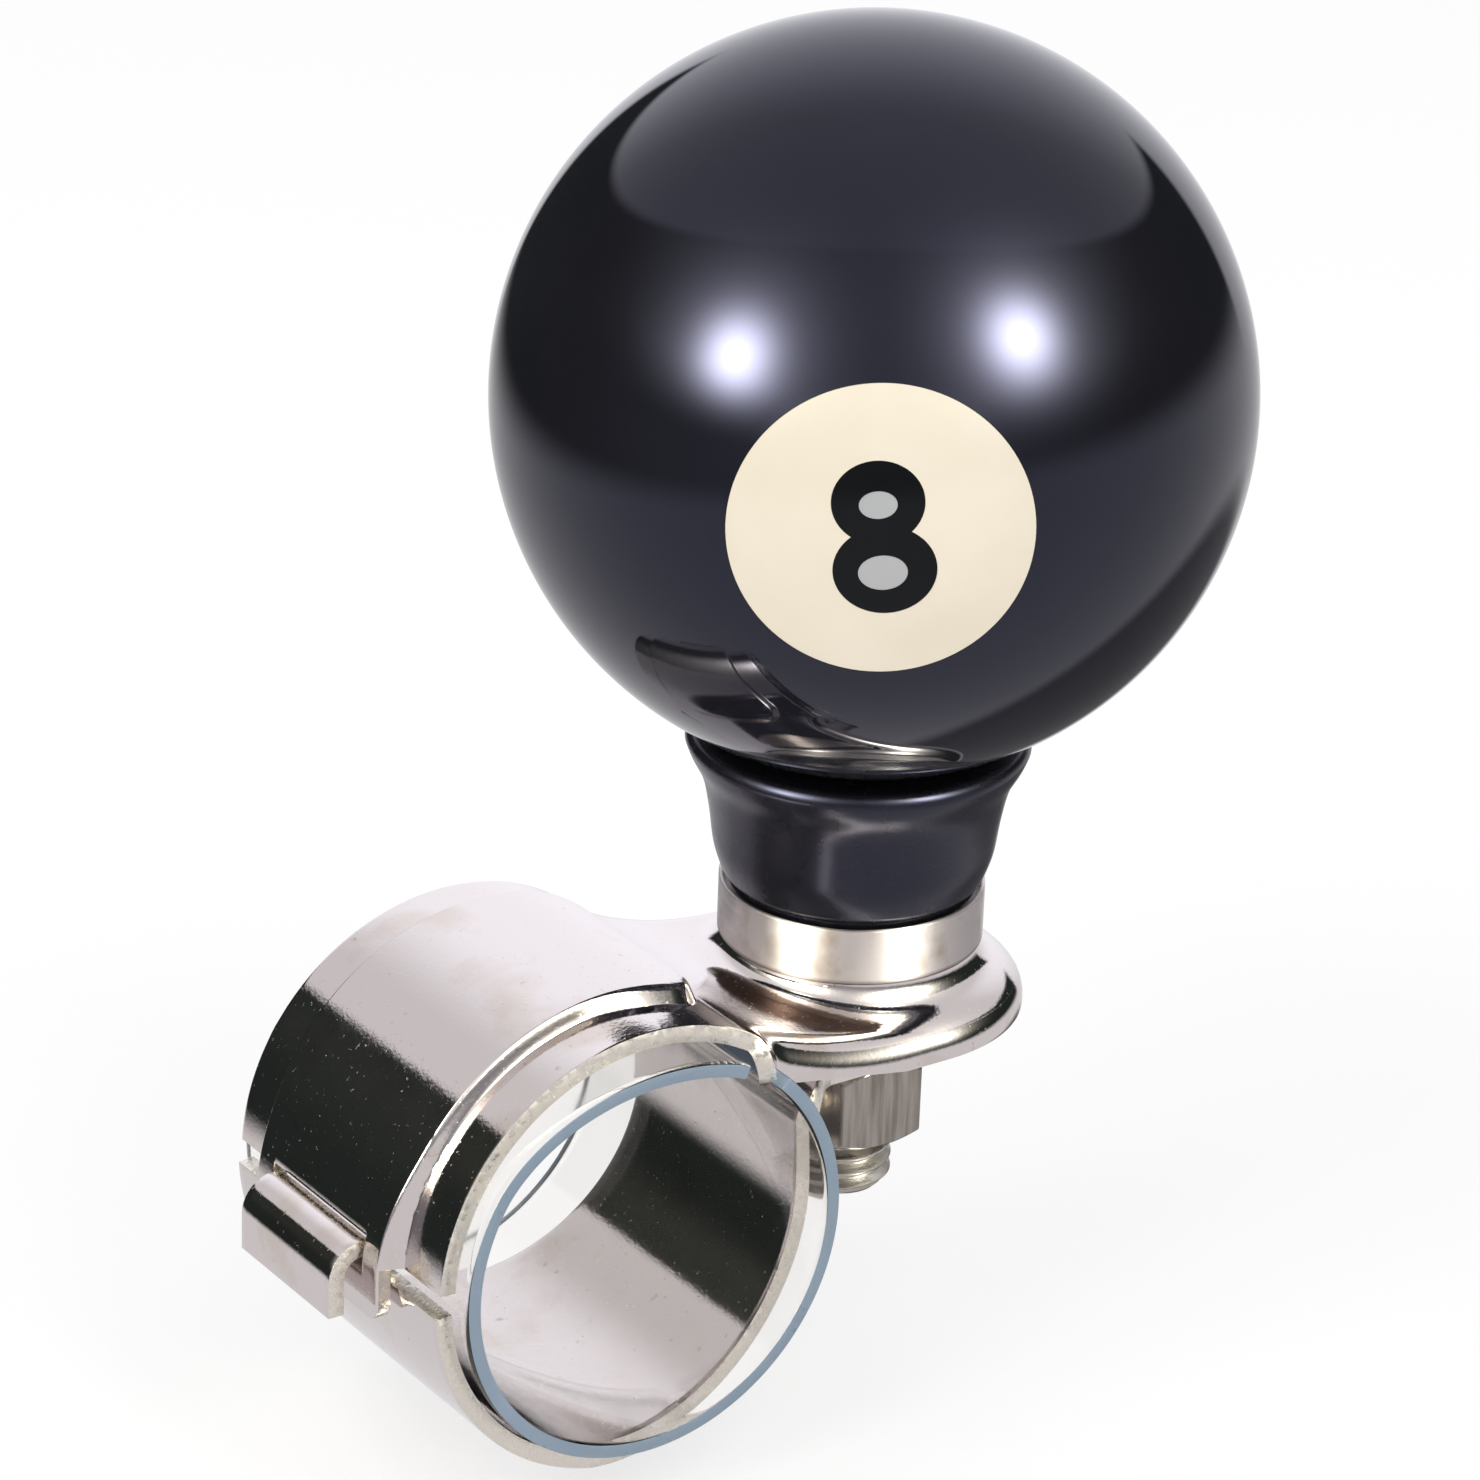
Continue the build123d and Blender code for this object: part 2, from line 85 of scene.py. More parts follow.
SHEET = 1.3                  # both stampings are this thick
PLAY = 0.35                  # air between the strap and what it passes
LAP = 0.05                   # air between two pieces that lie on each other
sleeve_r = sleeve_high.x
band_half = clamp_high.y
arch_r = sleeve_r + LAP + SHEET
strap_r = sleeve_r + PLAY + SHEET / 2        # middle of the strap's sheet
crown_r = clamp_high.z
plate_r = clamp_high.x - knob_x
ball_r = (ball_high.x - ball_low.x) / 2
ball_z = ball_high.z - ball_r
print(f"knob axis at x {knob_x:.1f}, arch r {arch_r:.2f}, strap r {strap_r:.2f}")
print(f"panel r {crown_r:.2f}, platform end r {plate_r:.2f}")
print(f"ball r {ball_r:.3f} at z {ball_z:.2f} mm")

# %% [markdown]
# ## Helpers for meshes
# Everything here is pressed sheet, turned or moulded. Such a piece could be cut from basic
# solids, but its bends would come out sharp. A net suits it better: rows of points, each row
# one step along the piece, joined into faces.

# %% Values along a line


def spread(start, end, step):
    """Evenly spaced values from start to end, about a step apart."""
    count = max(1, round(abs(end - start) / step))
    return [start + (end - start) * k / count for k in range(count + 1)]


def carry_on(values, *stops, step):
    """Carry a line of values on from its end through more stops, about a step apart."""
    for stop in stops:
        values = values + spread(values[-1], stop, step)[1:]
    return values


def ease(value, low, high):
    """0 below low, 1 above high, and a smooth slope between."""
    t = min(1, max(0, (value - low) / (high - low)))
    return t * t * (3 - 2 * t)


print("from 0 to 9 in steps of about 2:", spread(0, 9, 2))

# %% Rows of points joined into faces


def net(rows, loop_rows=False, loop_columns=False, skip=None, stock=0):
    """Points, faces and stock of a net of rows; skip(i, j) leaves a face out."""
    points = [point for row in rows for point in row]
    wide = len(rows[0])
    faces = []
    for i in range(len(rows) if loop_rows else len(rows) - 1):
        for j in range(wide if loop_columns else wide - 1):
            if skip and skip(i, j):
                continue
            here, ahead = i * wide, (i + 1) % len(rows) * wide
            beside = (j + 1) % wide
            faces.append((here + j, ahead + j, ahead + beside, here + beside))
    return points, faces, [stock] * len(faces)


def at(r, angle, z):
    """The point at a radius and an angle about the knob's axis."""
    return (knob_x + r * math.cos(angle), r * math.sin(angle), z)


square = [[(x, y, 0) for x in range(3)] for y in range(3)]
print("three rows of three points make", len(net(square)[1]), "faces")

# %% [markdown]
# A piece can be cut from two kinds of stock, such as bright plate and its sheared edge, so a
# net carries the number of its material. Each piece is then finished in the same way: it is
# smoothed, rides on its body, and hides the plain node that it stands for.

# %% From nets to a piece
WELD = 3e-6                  # points closer than this, in metres, become one


def pick(piece):
    """Make a piece the only one selected, and the active one."""
    bpy.ops.object.select_all(action="DESELECT")
    bpy.context.view_layer.objects.active = piece
    piece.select_set(True)


def new_piece(name, materials, *nets, closed=True):
    """One object from one or more nets in millimetres; a net's stock picks its material."""
    points, faces, stocks = [], [], []
    for net_points, net_faces, net_stocks in nets:
        faces += [tuple(k + len(points) for k in face) for face in net_faces]
        points += net_points
        stocks += net_stocks
    mesh = bpy.data.meshes.new(name)
    mesh.from_pydata([Vector(p) * MM for p in points], [], faces)
    for material in materials:
        mesh.materials.append(material)
    mesh.polygons.foreach_set("material_index", stocks)
    piece = bpy.data.objects.new(name, mesh)
    bpy.context.scene.collection.objects.link(piece)
    pick(piece)
    bpy.ops.object.mode_set(mode="EDIT")
    bpy.ops.mesh.select_all(action="SELECT")
    bpy.ops.mesh.remove_doubles(threshold=WELD)
    if closed:
        bpy.ops.mesh.normals_make_consistent(inside=False)
    bpy.ops.object.mode_set(mode="OBJECT")
    return piece


print("a piece's points are welded at", WELD / MM, "mm")

# %% Change and finish a piece


def modify(piece, kind, **settings):
    """Add a modifier, set it and apply it."""
    modifier = piece.modifiers.new(kind.title(), kind)
    for key, value in settings.items():
        setattr(modifier, key, value)
    pick(piece)
    bpy.ops.object.modifier_apply(modifier=modifier.name)


def thicken(piece, thickness, offset=0):
    """Give a skin its thickness; the new rim takes the second material, the cut edge."""
    modify(piece, "SOLIDIFY", thickness=thickness * MM, offset=offset, material_offset_rim=1)


def soften(piece, width, degrees=50):
    """Round every edge that is sharper than an angle, as tumbling does."""
    modify(piece, "BEVEL", width=width * MM, segments=2, limit_method="ANGLE",
           angle_limit=math.radians(degrees))


def finish(piece, body, nodes, smooth=40):
    """Smooth a piece and hand it to its body and its node's place."""
    pick(piece)
    bpy.ops.object.shade_smooth_by_angle(angle=math.radians(smooth))
    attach(piece, body)
    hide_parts(*nodes)
    print(f"{piece.name}: {len(piece.data.polygons)} faces on {body}")


# %% [markdown]
# ## Helpers for materials
# A finish is a small graph of nodes. It could be clicked together by hand, but written down
# it can be read and changed. Colours are written as a designer writes them, in sRGB hex, and
# turned to the linear values that the shader works in. One function adds any node: a tuple
# fills the sockets that are in use from the top, and a dictionary fills them by name. So a
# Mix takes (share, first, second), and a Map Range takes a value, the range that counts and
# the range that it becomes.

# %% Colours and nodes


def colour(text):
    """An sRGB hex colour as linear RGBA."""
    channels = [int(text[k:k + 2], 16) / 255 for k in (1, 3, 5)]
    linear = [c / 12.92 if c <= 0.04045 else ((c + 0.055) / 1.055) ** 2.4 for c in channels]
    return (*linear, 1.0)


def add(tree, kind, inputs=(), output=None, **settings):
    """Add a node, set its options, fill or link its inputs, and give back one output."""
    node = tree.nodes.new("ShaderNode" + kind)
    for key, value in settings.items():
        setattr(node, key, value)
    if isinstance(inputs, dict):
        filled = [(node.inputs[key], value) for key, value in inputs.items()]
    else:
        filled = zip([socket for socket in node.inputs if socket.enabled], inputs)
    for socket, value in filled:
        if isinstance(value, bpy.types.NodeSocket):
            tree.links.new(value, socket)
        else:
            socket.default_value = value
    if output:
        return node.outputs[output]
    return next((socket for socket in node.outputs if socket.enabled), None)


def new_material(name, **constants):
    """A material with one Principled shader, and the constants set on its own sockets."""
    material = bpy.data.materials.new(name)
    material.use_nodes = True
    tree = material.node_tree
    shader = tree.nodes["Principled BSDF"]
    for socket, value in constants.items():
        shader.inputs[socket.replace("_", " ")].default_value = value
    return material, tree, shader


print("mid grey #808080 is", round(colour("#808080")[0], 3), "in linear light")

# %% [markdown]
# Wear comes in marks of a certain size, so a pattern is asked for by that size, in
# millimetres on the piece. A noise's Scale is 1 over it. Only the part of the noise between
# two values counts, which is how a few marks stand out from clean metal. The same noise can
# be read as height, and then its depth is in millimetres too.

# %% Marks, relief and links


def feed(tree, shader, **patterns):
    """Link patterns to the shader's sockets."""
    for socket, pattern in patterns.items():
        tree.links.new(pattern, shader.inputs[socket.replace("_", " ")])


def in_mm(tree, stretch=(1, 1, 1)):
    """Where a point lies on the piece, in millimetres; stretch packs a pattern tighter."""
    place = add(tree, "TexCoord", output="Object")
    return add(tree, "Mapping", {"Vector": place, "Scale": [s / MM for s in stretch]})


def marks(tree, place, size, detail, between, to=(0.0, 1.0)):
    """Marks about size mm across: a noise between two values, stretched to two others."""
    noise = add(tree, "TexNoise", {"Vector": place, "Scale": 1 / size, "Detail": detail})
    return add(tree, "MapRange", (noise, *between, *to))


def relief(tree, place, size, detail, depth, over=None):
    """Swells about size mm across and depth mm deep, on top of another relief if given."""
    noise = add(tree, "TexNoise", {"Vector": place, "Scale": 1 / size, "Detail": detail})
    inputs = {"Height": noise, "Distance": depth * MM, "Strength": 1.0}
    return add(tree, "Bump", {**inputs, "Normal": over} if over else inputs)


print("marks 2 mm across have a Scale of", 1 / 2)

# %% [markdown]
# ## Bright nickel
# The stampings are steel, polished and then plated with bright nickel, which is a warm grey
# mirror. One grey and one roughness would look like a computer's chrome. Polishing leaves a
# faint waviness, and the bath and the hand leave clouds, dried drops, wipes and pits, so
# colour, roughness and height each wander a little. Pits and grit are finer on the real
# plate, and drawn as coarse as they need to be to show.

# %% Bright nickel plate
PLATE = "#DCD5D3"


def bright_nickel():
    material, tree, shader = new_material("bright_nickel_plate", Metallic=1.0, Roughness=0.06)
    place = in_mm(tree)
    clouds = marks(tree, place, size=9.0, detail=5.0, between=(0.56, 0.78))
    drops = marks(tree, place, size=1.1, detail=2.0, between=(0.70, 0.78), to=(0.0, 0.35))
    tone = add(tree, "Mix", (clouds, colour(PLATE), colour("#C8BBAD")), data_type="RGBA")
    tone = add(tree, "Mix", (drops, tone, colour("#7A6650")), data_type="RGBA")
    wipes = marks(tree, place, size=2.5, detail=4.0, between=(0.3, 0.8), to=(0.045, 0.11))
    pits = marks(tree, place, size=0.35, detail=2.0, between=(0.66, 0.74))
    rough = add(tree, "Math", (pits, 0.3, wipes), operation="MULTIPLY_ADD")
    waves = relief(tree, place, size=3.5, detail=1.0, depth=0.010)
    grit = relief(tree, place, size=0.32, detail=2.0, depth=0.006, over=waves)
    feed(tree, shader, Base_Color=tone, Roughness=rough, Normal=grit)
    return material


nickel = bright_nickel()
print(nickel.name, "of", len(nickel.node_tree.nodes), "nodes")

# %% [markdown]
# ## Turned ring
# The ring under the neck has the same plate, but over the fine marks of the lathe, which
# smear every reflection up and down it. Thousands of grooves could be modelled. An
# anisotropic shader with its tangent round the axis gives the same smear, and the marks,
# drawn coarser than a lathe's, only have to vary the roughness. A brown shade is painted
# on at the ring's foot, where it meets the boss.

# %% Turned nickel
# The band of painted shade at the ring's foot, where it meets the boss.
FOOT_SHADE_LOW, FOOT_SHADE_HIGH = cup_low.z + 0.1, cup_low.z + 0.5


def turned_ring():
    material, tree, shader = new_material(
        "turned_nickel_ring", Metallic=1.0, Anisotropic=0.95, Anisotropic_Rotation=0.25)
    place = in_mm(tree)
    stains = marks(tree, place, size=2.2, detail=3.0, between=(0.5, 0.75))
    tone = add(tree, "Mix", (stains, colour(PLATE), colour("#C2B6AA")), data_type="RGBA")
    height = add(tree, "SeparateXYZ", (place,), output="Z")
    # Painted shade: brown, strongest at the ring's foot and gone half a millimetre above it.
    painted_foot_shade = add(tree, "MapRange", (height, FOOT_SHADE_LOW, FOOT_SHADE_HIGH, 0.85, 0.0))
    tone = add(tree, "Mix", (painted_foot_shade, tone, colour("#4A3426")), data_type="RGBA")
    round_it = in_mm(tree, (0.03, 0.03, 1))      # long round the ring and fine up it
    rough = marks(tree, round_it, size=0.16, detail=1.0, between=(0.3, 0.7), to=(0.36, 0.44))
    tangent = add(tree, "Tangent", direction_type="RADIAL", axis="Z")
    feed(tree, shader, Base_Color=tone, Roughness=rough, Tangent=tangent)
    return material


ring_nickel = turned_ring()
print(f"{ring_nickel.name} with soot up to z {FOOT_SHADE_HIGH:.1f} mm")

# %% [markdown]
# ## Sheared edge
# The blanks are sheared, and the plate on a sheared edge is rough: half of it is smeared
# smooth by the tool and half is torn. It reads as a pale, sparkling line round each stamping,
# so the edge gets a material of its own, with the torn grain as a relief that is deep for
# its size, which is about a third of the sheet.

# %% Sheared edge


def sheared_edge():
    material, tree, shader = new_material(
        "sheared_nickel_edge", Metallic=1.0, Roughness=0.3, Base_Color=colour("#E4DED4"))
    torn = add(tree, "TexNoise", {"Vector": in_mm(tree), "Scale": 1 / 0.45, "Detail": 3.0})
    rough = add(tree, "MapRange", (torn, 0.3, 0.7, 0.16, 0.5))
    bump = add(tree, "Bump", {"Height": torn, "Distance": 0.06 * MM, "Strength": 1.0})
    feed(tree, shader, Roughness=rough, Normal=bump)
    return material


edge = sheared_edge()
print(edge.name, "with a grain of 0.45 mm on a sheet of", SHEET, "mm")

# %% [markdown]
# ## Drawn and turned metals
# The nut is plated too, but over a coarse cold-drawn hexagon, so it stays satin and shows
# fine upright streaks. The washer, spindle and clip are plain steel with turning marks, the
# bearing is ground steel, and the bush inside the ball is brass. All of them are streaks of
# two close tones, so one function with a stretched noise serves them all. The streaks are
# finer on the real metal, and drawn as coarse as they need to be to show.

# %% Drawn and turned metals
UPRIGHT, ROUND, EVEN = (1, 1, 0.06), (0.1, 0.1, 1), (1, 1, 1)     # which way streaks run


def drawn_metal(name, light, dark, rough_low, rough_high, streak, run, depth):
    """A metal with fine streaks that are streak mm apart and depth mm deep."""
    material, tree, shader = new_material(name, Metallic=1.0, Roughness=rough_high)
    lines = add(tree, "TexNoise", {"Vector": in_mm(tree, run), "Scale": 1 / streak, "Detail": 2.0})
    share = add(tree, "MapRange", (lines, 0.35, 0.65, 0.0, 1.0))
    tone = add(tree, "Mix", (share, colour(light), colour(dark)), data_type="RGBA")
    rough = add(tree, "MapRange", (lines, 0.3, 0.7, rough_low, rough_high))
    bump = add(tree, "Bump", {"Height": lines, "Distance": depth * MM, "Strength": 1.0})
    feed(tree, shader, Base_Color=tone, Roughness=rough, Normal=bump)
    return material


satin_nickel = drawn_metal(
    "satin_nickel_drawn", "#A8A29B", "#857E76", 0.16, 0.32, 0.5, UPRIGHT, 0.012)
turned_steel = drawn_metal(
    "turned_steel", "#C4C1BC", "#A39D94", 0.18, 0.36, 0.3, ROUND, 0.010)
spring_steel = drawn_metal(
    "spring_steel_oiled", "#9C968D", "#6E675E", 0.25, 0.45, 0.4, EVEN, 0.015)
ground_steel = drawn_metal(
    "ground_bearing_steel", "#D2D2D0", "#BDBCB8", 0.08, 0.16, 0.2, ROUND, 0.003)
brass = drawn_metal(
    "turned_brass", "#D9B866", "#BE9748", 0.18, 0.34, 0.3, ROUND, 0.010)
metals = (satin_nickel, turned_steel, spring_steel, ground_steel, brass)
print("metals:", ", ".join(metal.name for metal in metals))

# %% [markdown]
# ## Cast resin
# The ball is cast phenolic resin, with an IOR between 1.5 and 1.6, polished until it works
# as a black mirror. One flat colour would look painted: cast resin drifts between two close
# tones over a centimetre. The discs are the same resin with a cream pigment that has
# yellowed, the counters of the figure are a pale grey, and the figure is inlaid black, so
# one function makes all four.

# %% Cast phenolic resin
BLOOM = "#C4C6F2"            # the blue cast that polished black plastic gives to reflections


def cast_resin(name, low, high, rough, bloom="#FFFFFF", ior=1.55):
    """Polished resin between two close tones; bloom tints what it reflects."""
    material, tree, shader = new_material(
        name, Roughness=rough, IOR=ior, Specular_Tint=colour(bloom))
    place = in_mm(tree)
    drift = marks(tree, place, size=12.0, detail=4.0, between=(0.35, 0.7))
    tone = add(tree, "Mix", (drift, colour(low), colour(high)), data_type="RGBA")
    wiped = (rough, rough + 0.03)
    wipes = marks(tree, place, size=5.0, detail=4.0, between=(0.35, 0.8), to=wiped)
    waves = relief(tree, place, size=14.0, detail=1.0, depth=0.004)
    feed(tree, shader, Base_Color=tone, Roughness=wipes, Normal=waves)
    return material


ball_resin = cast_resin("black_phenolic_resin", "#17171B", "#1A1A1F", 0.03, BLOOM, 1.50)
disc_resin = cast_resin("cream_phenolic_resin", "#E6DCC9", "#DFD4BE", 0.06)
counter_resin = cast_resin("pale_phenolic_resin", "#AEAEAE", "#A6A7A8", 0.06)
figure_resin = cast_resin("black_inlay_resin", "#0B0C0D", "#101112", 0.06, "#8C8E96")
resins = (ball_resin, disc_resin, counter_resin, figure_resin)
print("resins:", ", ".join(resin.name for resin in resins))

# %% [markdown]
# ## Moulded neck and clear sleeve
# The neck is ABS from a polished mould, with the soft ripple that a thick moulding gets as
# it shrinks, and it is duller than the ball because nobody has polished it. The sleeve is
# clear soft vinyl: its faces let light through, and its cut end, which is rough, looks a
# milky blue. A clear sheet could be a glass shader, but one Principled shader with a share
# of transmission serves both the face and the cut.

# %% Moulded ABS and soft vinyl


def moulded_abs():
    material, tree, shader = new_material(
        "black_moulded_abs", Roughness=0.12, IOR=1.52, Specular_Tint=colour(BLOOM))
    place = in_mm(tree)
    drift = add(tree, "TexNoise", {"Vector": place, "Scale": 1 / 6.0, "Detail": 4.0})
    tone = add(tree, "Mix", (drift, colour("#151518"), colour("#1A1A1E")), data_type="RGBA")
    touches = marks(tree, place, size=3.0, detail=4.0, between=(0.3, 0.8), to=(0.24, 0.32))
    ripple = relief(tree, place, size=5.0, detail=1.0, depth=0.006)
    feed(tree, shader, Base_Color=tone, Roughness=touches, Normal=ripple)
    return material


def soft_vinyl(name, low, high, rough, clear):
    material, tree, shader = new_material(name, IOR=1.46, Transmission_Weight=clear)
    place = in_mm(tree)
    drift = add(tree, "TexNoise", {"Vector": place, "Scale": 1 / 8.0, "Detail": 3.0})
    tone = add(tree, "Mix", (drift, colour(low), colour(high)), data_type="RGBA")
    touched = (rough, 2.5 * rough)
    touches = marks(tree, place, size=2.5, detail=4.0, between=(0.3, 0.8), to=touched)
    waves = relief(tree, place, size=9.0, detail=1.0, depth=0.03)
    feed(tree, shader, Base_Color=tone, Roughness=touches, Normal=waves)
    return material


neck_abs = moulded_abs()
vinyl = soft_vinyl("clear_soft_vinyl", "#FAF9F7", "#F4F3F2", 0.03, 1.0)
vinyl_cut = soft_vinyl("cut_vinyl_edge", "#94A4B4", "#8496A8", 0.25, 0.2)
print(len(bpy.data.materials), "materials, the frame's own included")

# %% [markdown]
# ## The upper clamp
# The upper clamp starts as a flat blank. One tool bends it over a round former into an arch,
# another sets up a raised panel, and a third turns the rim of the platform down into a skirt.
# Joining solids with a Boolean would leave creases where the real sheet flows, so one net
# follows the blank: its rows cross the sheet, and its columns run from the tongue over the
# arch, along the platform and round its end. Each point is found from how far along and how
# far across the blank it lies, so every bend gets its true radius.

# %% The line that the blank is bent along
PLATE_TOP = 10.9
SWEEP_R = 30.0               # long concave sweep from arch to platform
sweep_x = math.sqrt((arch_r + SWEEP_R) ** 2 - (PLATE_TOP + SWEEP_R) ** 2)
leave = math.atan2(PLATE_TOP + SWEEP_R, sweep_x)
s_arch = -clamp_low.z
s_sweep = s_arch + arch_r * (math.pi - leave)
s_flat = s_sweep + SWEEP_R * (math.pi / 2 - leave)
s_axis = s_flat + knob_x - sweep_x


def bend_line(s):
    """Point (x, z) and outward normal on the blank's skin, s mm from the tongue's foot."""
    if s < s_arch:
        return (-arch_r, s - s_arch), (-1, 0)
    if s < s_sweep:
        a = math.pi - (s - s_arch) / arch_r
        return (arch_r * math.cos(a), arch_r * math.sin(a)), (math.cos(a), math.sin(a))
    if s < s_flat:
        a = leave + (s - s_sweep) / SWEEP_R
        normal = (math.cos(a), math.sin(a))
        return (sweep_x - SWEEP_R * normal[0], PLATE_TOP + SWEEP_R * (1 - normal[1])), normal
    return (sweep_x + s - s_flat, PLATE_TOP), (0, 1)


def s_at_level(z):
    """How far along the blank the rising side of the arch reaches a level."""
    return z + s_arch if z < 0 else s_arch + arch_r * math.asin(z / arch_r)


print(f"blank: {s_axis:.1f} mm from the tongue's foot to the knob's axis")

# %% [markdown]
# The panel's height depends on how far a point lies outside its rounded outline: full height
# inside, a straight drafted wall beyond it, and a rounded bend at the wall's top and foot.
# The die strikes deepest over the tongue. Towards the top of the arch the panel is shallower
# and a little wider, and its wall leans more. A Displace modifier could lift the panel, but
# with a formula each of these sizes can be set on its own.

# %% Height of the raised panel
PANEL_RISE = crown_r - arch_r
PANEL_TOP_RISE = 1.2         # its height over the top of the arch
PANEL_FADE = 10.0            # it loses the rest in this many mm of the arch
PANEL_HALF = 8.7
PANEL_SPREAD = 0.65          # it widens this much
SPREAD_FROM, SPREAD_TO = 2.0, 12.0           # between these places on the arch
PANEL_CORNER = 3.0
PANEL_END = math.radians(66)                 # where it stops, from +X round the arch
WALL = 0.6                   # how far the wall leans out
WALL_START = 0.15            # its bend begins this far inside the outline
MORE_FROM, MORE_TO = math.radians(78), math.radians(100)     # over this it leans 1 mm more
CREST, FOOT = 0.36, 0.12     # shares of the wall that its two bends take
s_panel = s_arch + arch_r * (math.pi - PANEL_END)


def panel_height(s, y):
    """How far the sheet is raised at a place on the blank."""
    past_end = s - s_panel + PANEL_CORNER
    spread_out = PANEL_SPREAD * ease(s, s_arch + SPREAD_FROM, s_arch + SPREAD_TO)
    past_side = abs(y) - PANEL_HALF - spread_out + PANEL_CORNER
    if past_end > 0 and past_side > 0:
        outside = math.hypot(past_end, past_side) - PANEL_CORNER
    else:
        outside = max(past_end, past_side) - PANEL_CORNER
    full = PANEL_RISE - (PANEL_RISE - PANEL_TOP_RISE) * ease(s, s_arch, s_arch + PANEL_FADE)
    more = ease(s, s_arch + MORE_FROM * arch_r, s_arch + MORE_TO * arch_r)
    wall = WALL * full / PANEL_RISE + more
    t = min(1, max(0, (outside + WALL_START) / (wall + WALL_START)))
    steep = 1 / (1 - CREST / 2 - FOOT / 2)
    if t < CREST:
        fall = steep * t * t / (2 * CREST)
    elif t < 1 - FOOT:
        fall = steep * (t - CREST / 2)
    else:
        fall = 1 - steep * (1 - t) ** 2 / (2 * FOOT)
    return full * (1 - fall)


print(f"panel: {s_panel:.1f} mm long, {PANEL_RISE:.2f} mm high at the tongue")

# %% [markdown]
# Across the blank, the middle is flat and the last few millimetres roll down. On the arch the
# roll has no angle, so the edge stays flat. Where the platform starts, the angle grows to
# nearly a right angle, and the skirt's edge is trimmed along a sloping line. A Bevel would
# give the rim one even rounding, while this one grows out of the flat edge as it does on
# the press.

# %% Across the blank
ROLL_R = 2.5                 # bend at the platform's rim
FLAT_HALF = plate_r - ROLL_R
ARCH_FLAT = band_half - 2.2  # the strip outside this becomes the roll and the skirt
FLAT_FROM, FLAT_TO = 8.4, 13.0               # x at which the flat narrows to the platform's
ROLL_FROM, ROLL_TO = 9.4, 12.0               # x at which the edge rolls down
TRIM_TOP, TRIM_FALL = 10.0, 2.0              # level of the skirt's edge, and its slope down
TRIM_FROM, TRIM_RUN = 12.2, 11.8             # the x where the slope starts, and its length
ROLL_SHARE, SKIRT_SHARE = 0.8, 0.2           # columns past 1 go to the roll, then the skirt


def skirt_depth(x):
    """How far the skirt's edge hangs below the surface at a station."""
    run = max(0.0, sweep_x - x)
    surface = PLATE_TOP + SWEEP_R - math.sqrt(SWEEP_R ** 2 - run ** 2)
    return surface - (TRIM_TOP - TRIM_FALL * min(1, max(0, (x - TRIM_FROM) / TRIM_RUN)))


def edge_roll(x):
    """At a station: flat half width, roll angle, roll length and straight skirt length."""
    rolled = ease(x, ROLL_FROM, ROLL_TO)
    flat = ARCH_FLAT + (FLAT_HALF - ARCH_FLAT) * ease(x, FLAT_FROM, FLAT_TO)
    depth = skirt_depth(max(x, FLAT_FROM))
    full_angle = math.acos(max(0.0, 1 - depth / ROLL_R))
    length = (band_half - flat) * (1 - rolled) + ROLL_R * full_angle * rolled
    return flat, full_angle * rolled, length, max(0.0, depth - ROLL_R) * rolled


def across(x, v):
    """How far out and down a column lies: v up to 1 is flat, then the roll, then the skirt."""
    flat, angle, length, skirt = edge_roll(x)
    if v <= 1:
        return flat * v, 0.0
    share = min(1, (v - 1) / ROLL_SHARE)
    if angle < 1e-4:
        out, down = length * share, 0.0
    else:
        r = length / angle
        out, down = r * math.sin(angle * share), r * (1 - math.cos(angle * share))
    if v > 1 + ROLL_SHARE:
        tail = skirt * (v - 1 - ROLL_SHARE) / SKIRT_SHARE
        out, down = out + tail * math.cos(angle), down + tail * math.sin(angle)
    return flat + out, down


print("edge at the knob axis, out and down:", [round(k, 2) for k in across(knob_x, 2)])

# %% [markdown]
# A bend needs close rows and a flat needs few, so rows and columns crowd together where the
# panel's wall falls. The tongue at the start is narrower than the arch, with rounded corners,
# and above it is the window that the strap's hook goes through.

# %% Rows of the upper clamp's net
TONGUE_CORNER = 1.2
WINDOW_HALF, WINDOW_LOW, WINDOW_TOP = 6.6, -0.2, 2.6
BAND_END = 0.9               # level where the tongue widens to the arch
CLOSE_BEFORE, CLOSE_AFTER = 3.4, 1.2         # rows are close from before to after its end
PANEL_PAST = 4               # this far past its end there is no panel to work out
UP_FROM, UP_TO = 7.0, 12.0   # x at which a raised or rolled point turns to straight up or down
s_window_low, s_window_top = s_at_level(WINDOW_LOW), s_at_level(WINDOW_TOP)
s_band = s_at_level(BAND_END)
along = carry_on([0], TONGUE_CORNER, step=0.2)
along = carry_on(along, s_window_low, s_band, s_window_top, s_panel - CLOSE_BEFORE, step=0.5)
along = carry_on(along, s_panel + CLOSE_AFTER, step=0.1)
along = carry_on(along, s_axis, step=0.3)
half_side = [0]              # each stop is a place across the arch, with the step up to it
for y, step in ((PANEL_HALF - 3.2, 0.06), (WINDOW_HALF, 0.015), (PANEL_HALF - 0.4, 0.015),
                (PANEL_HALF, 0.007), (PANEL_HALF + 2.2, 0.007), (ARCH_FLAT, 0.06)):
    half_side = carry_on(half_side, y / ARCH_FLAT, step=step)
half_side = carry_on(half_side, 1 + ROLL_SHARE, 1 + ROLL_SHARE + SKIRT_SHARE, step=0.08)
side = [-v for v in reversed(half_side[1:])] + half_side


def clamp_point(s, v):
    """A point of the clamp's outer skin."""
    (x, z), (nx, nz) = bend_line(s)
    out, down = across(x, abs(v))
    if s < s_band - 1e-6:
        limit = PANEL_HALF
        if s < TONGUE_CORNER:
            limit -= TONGUE_CORNER - math.sqrt(TONGUE_CORNER ** 2 - (TONGUE_CORNER - s) ** 2)
        out = min(out, PANEL_HALF) * limit / PANEL_HALF
    rise = panel_height(s, out) if s <= s_panel + PANEL_PAST else 0.0
    upright = ease(x, UP_FROM, UP_TO)
    dx, dz = nx * (1 - upright), nz * (1 - upright) + upright
    return (x + nx * rise - dx * down, math.copysign(out, v), z + nz * rise - dz * down)


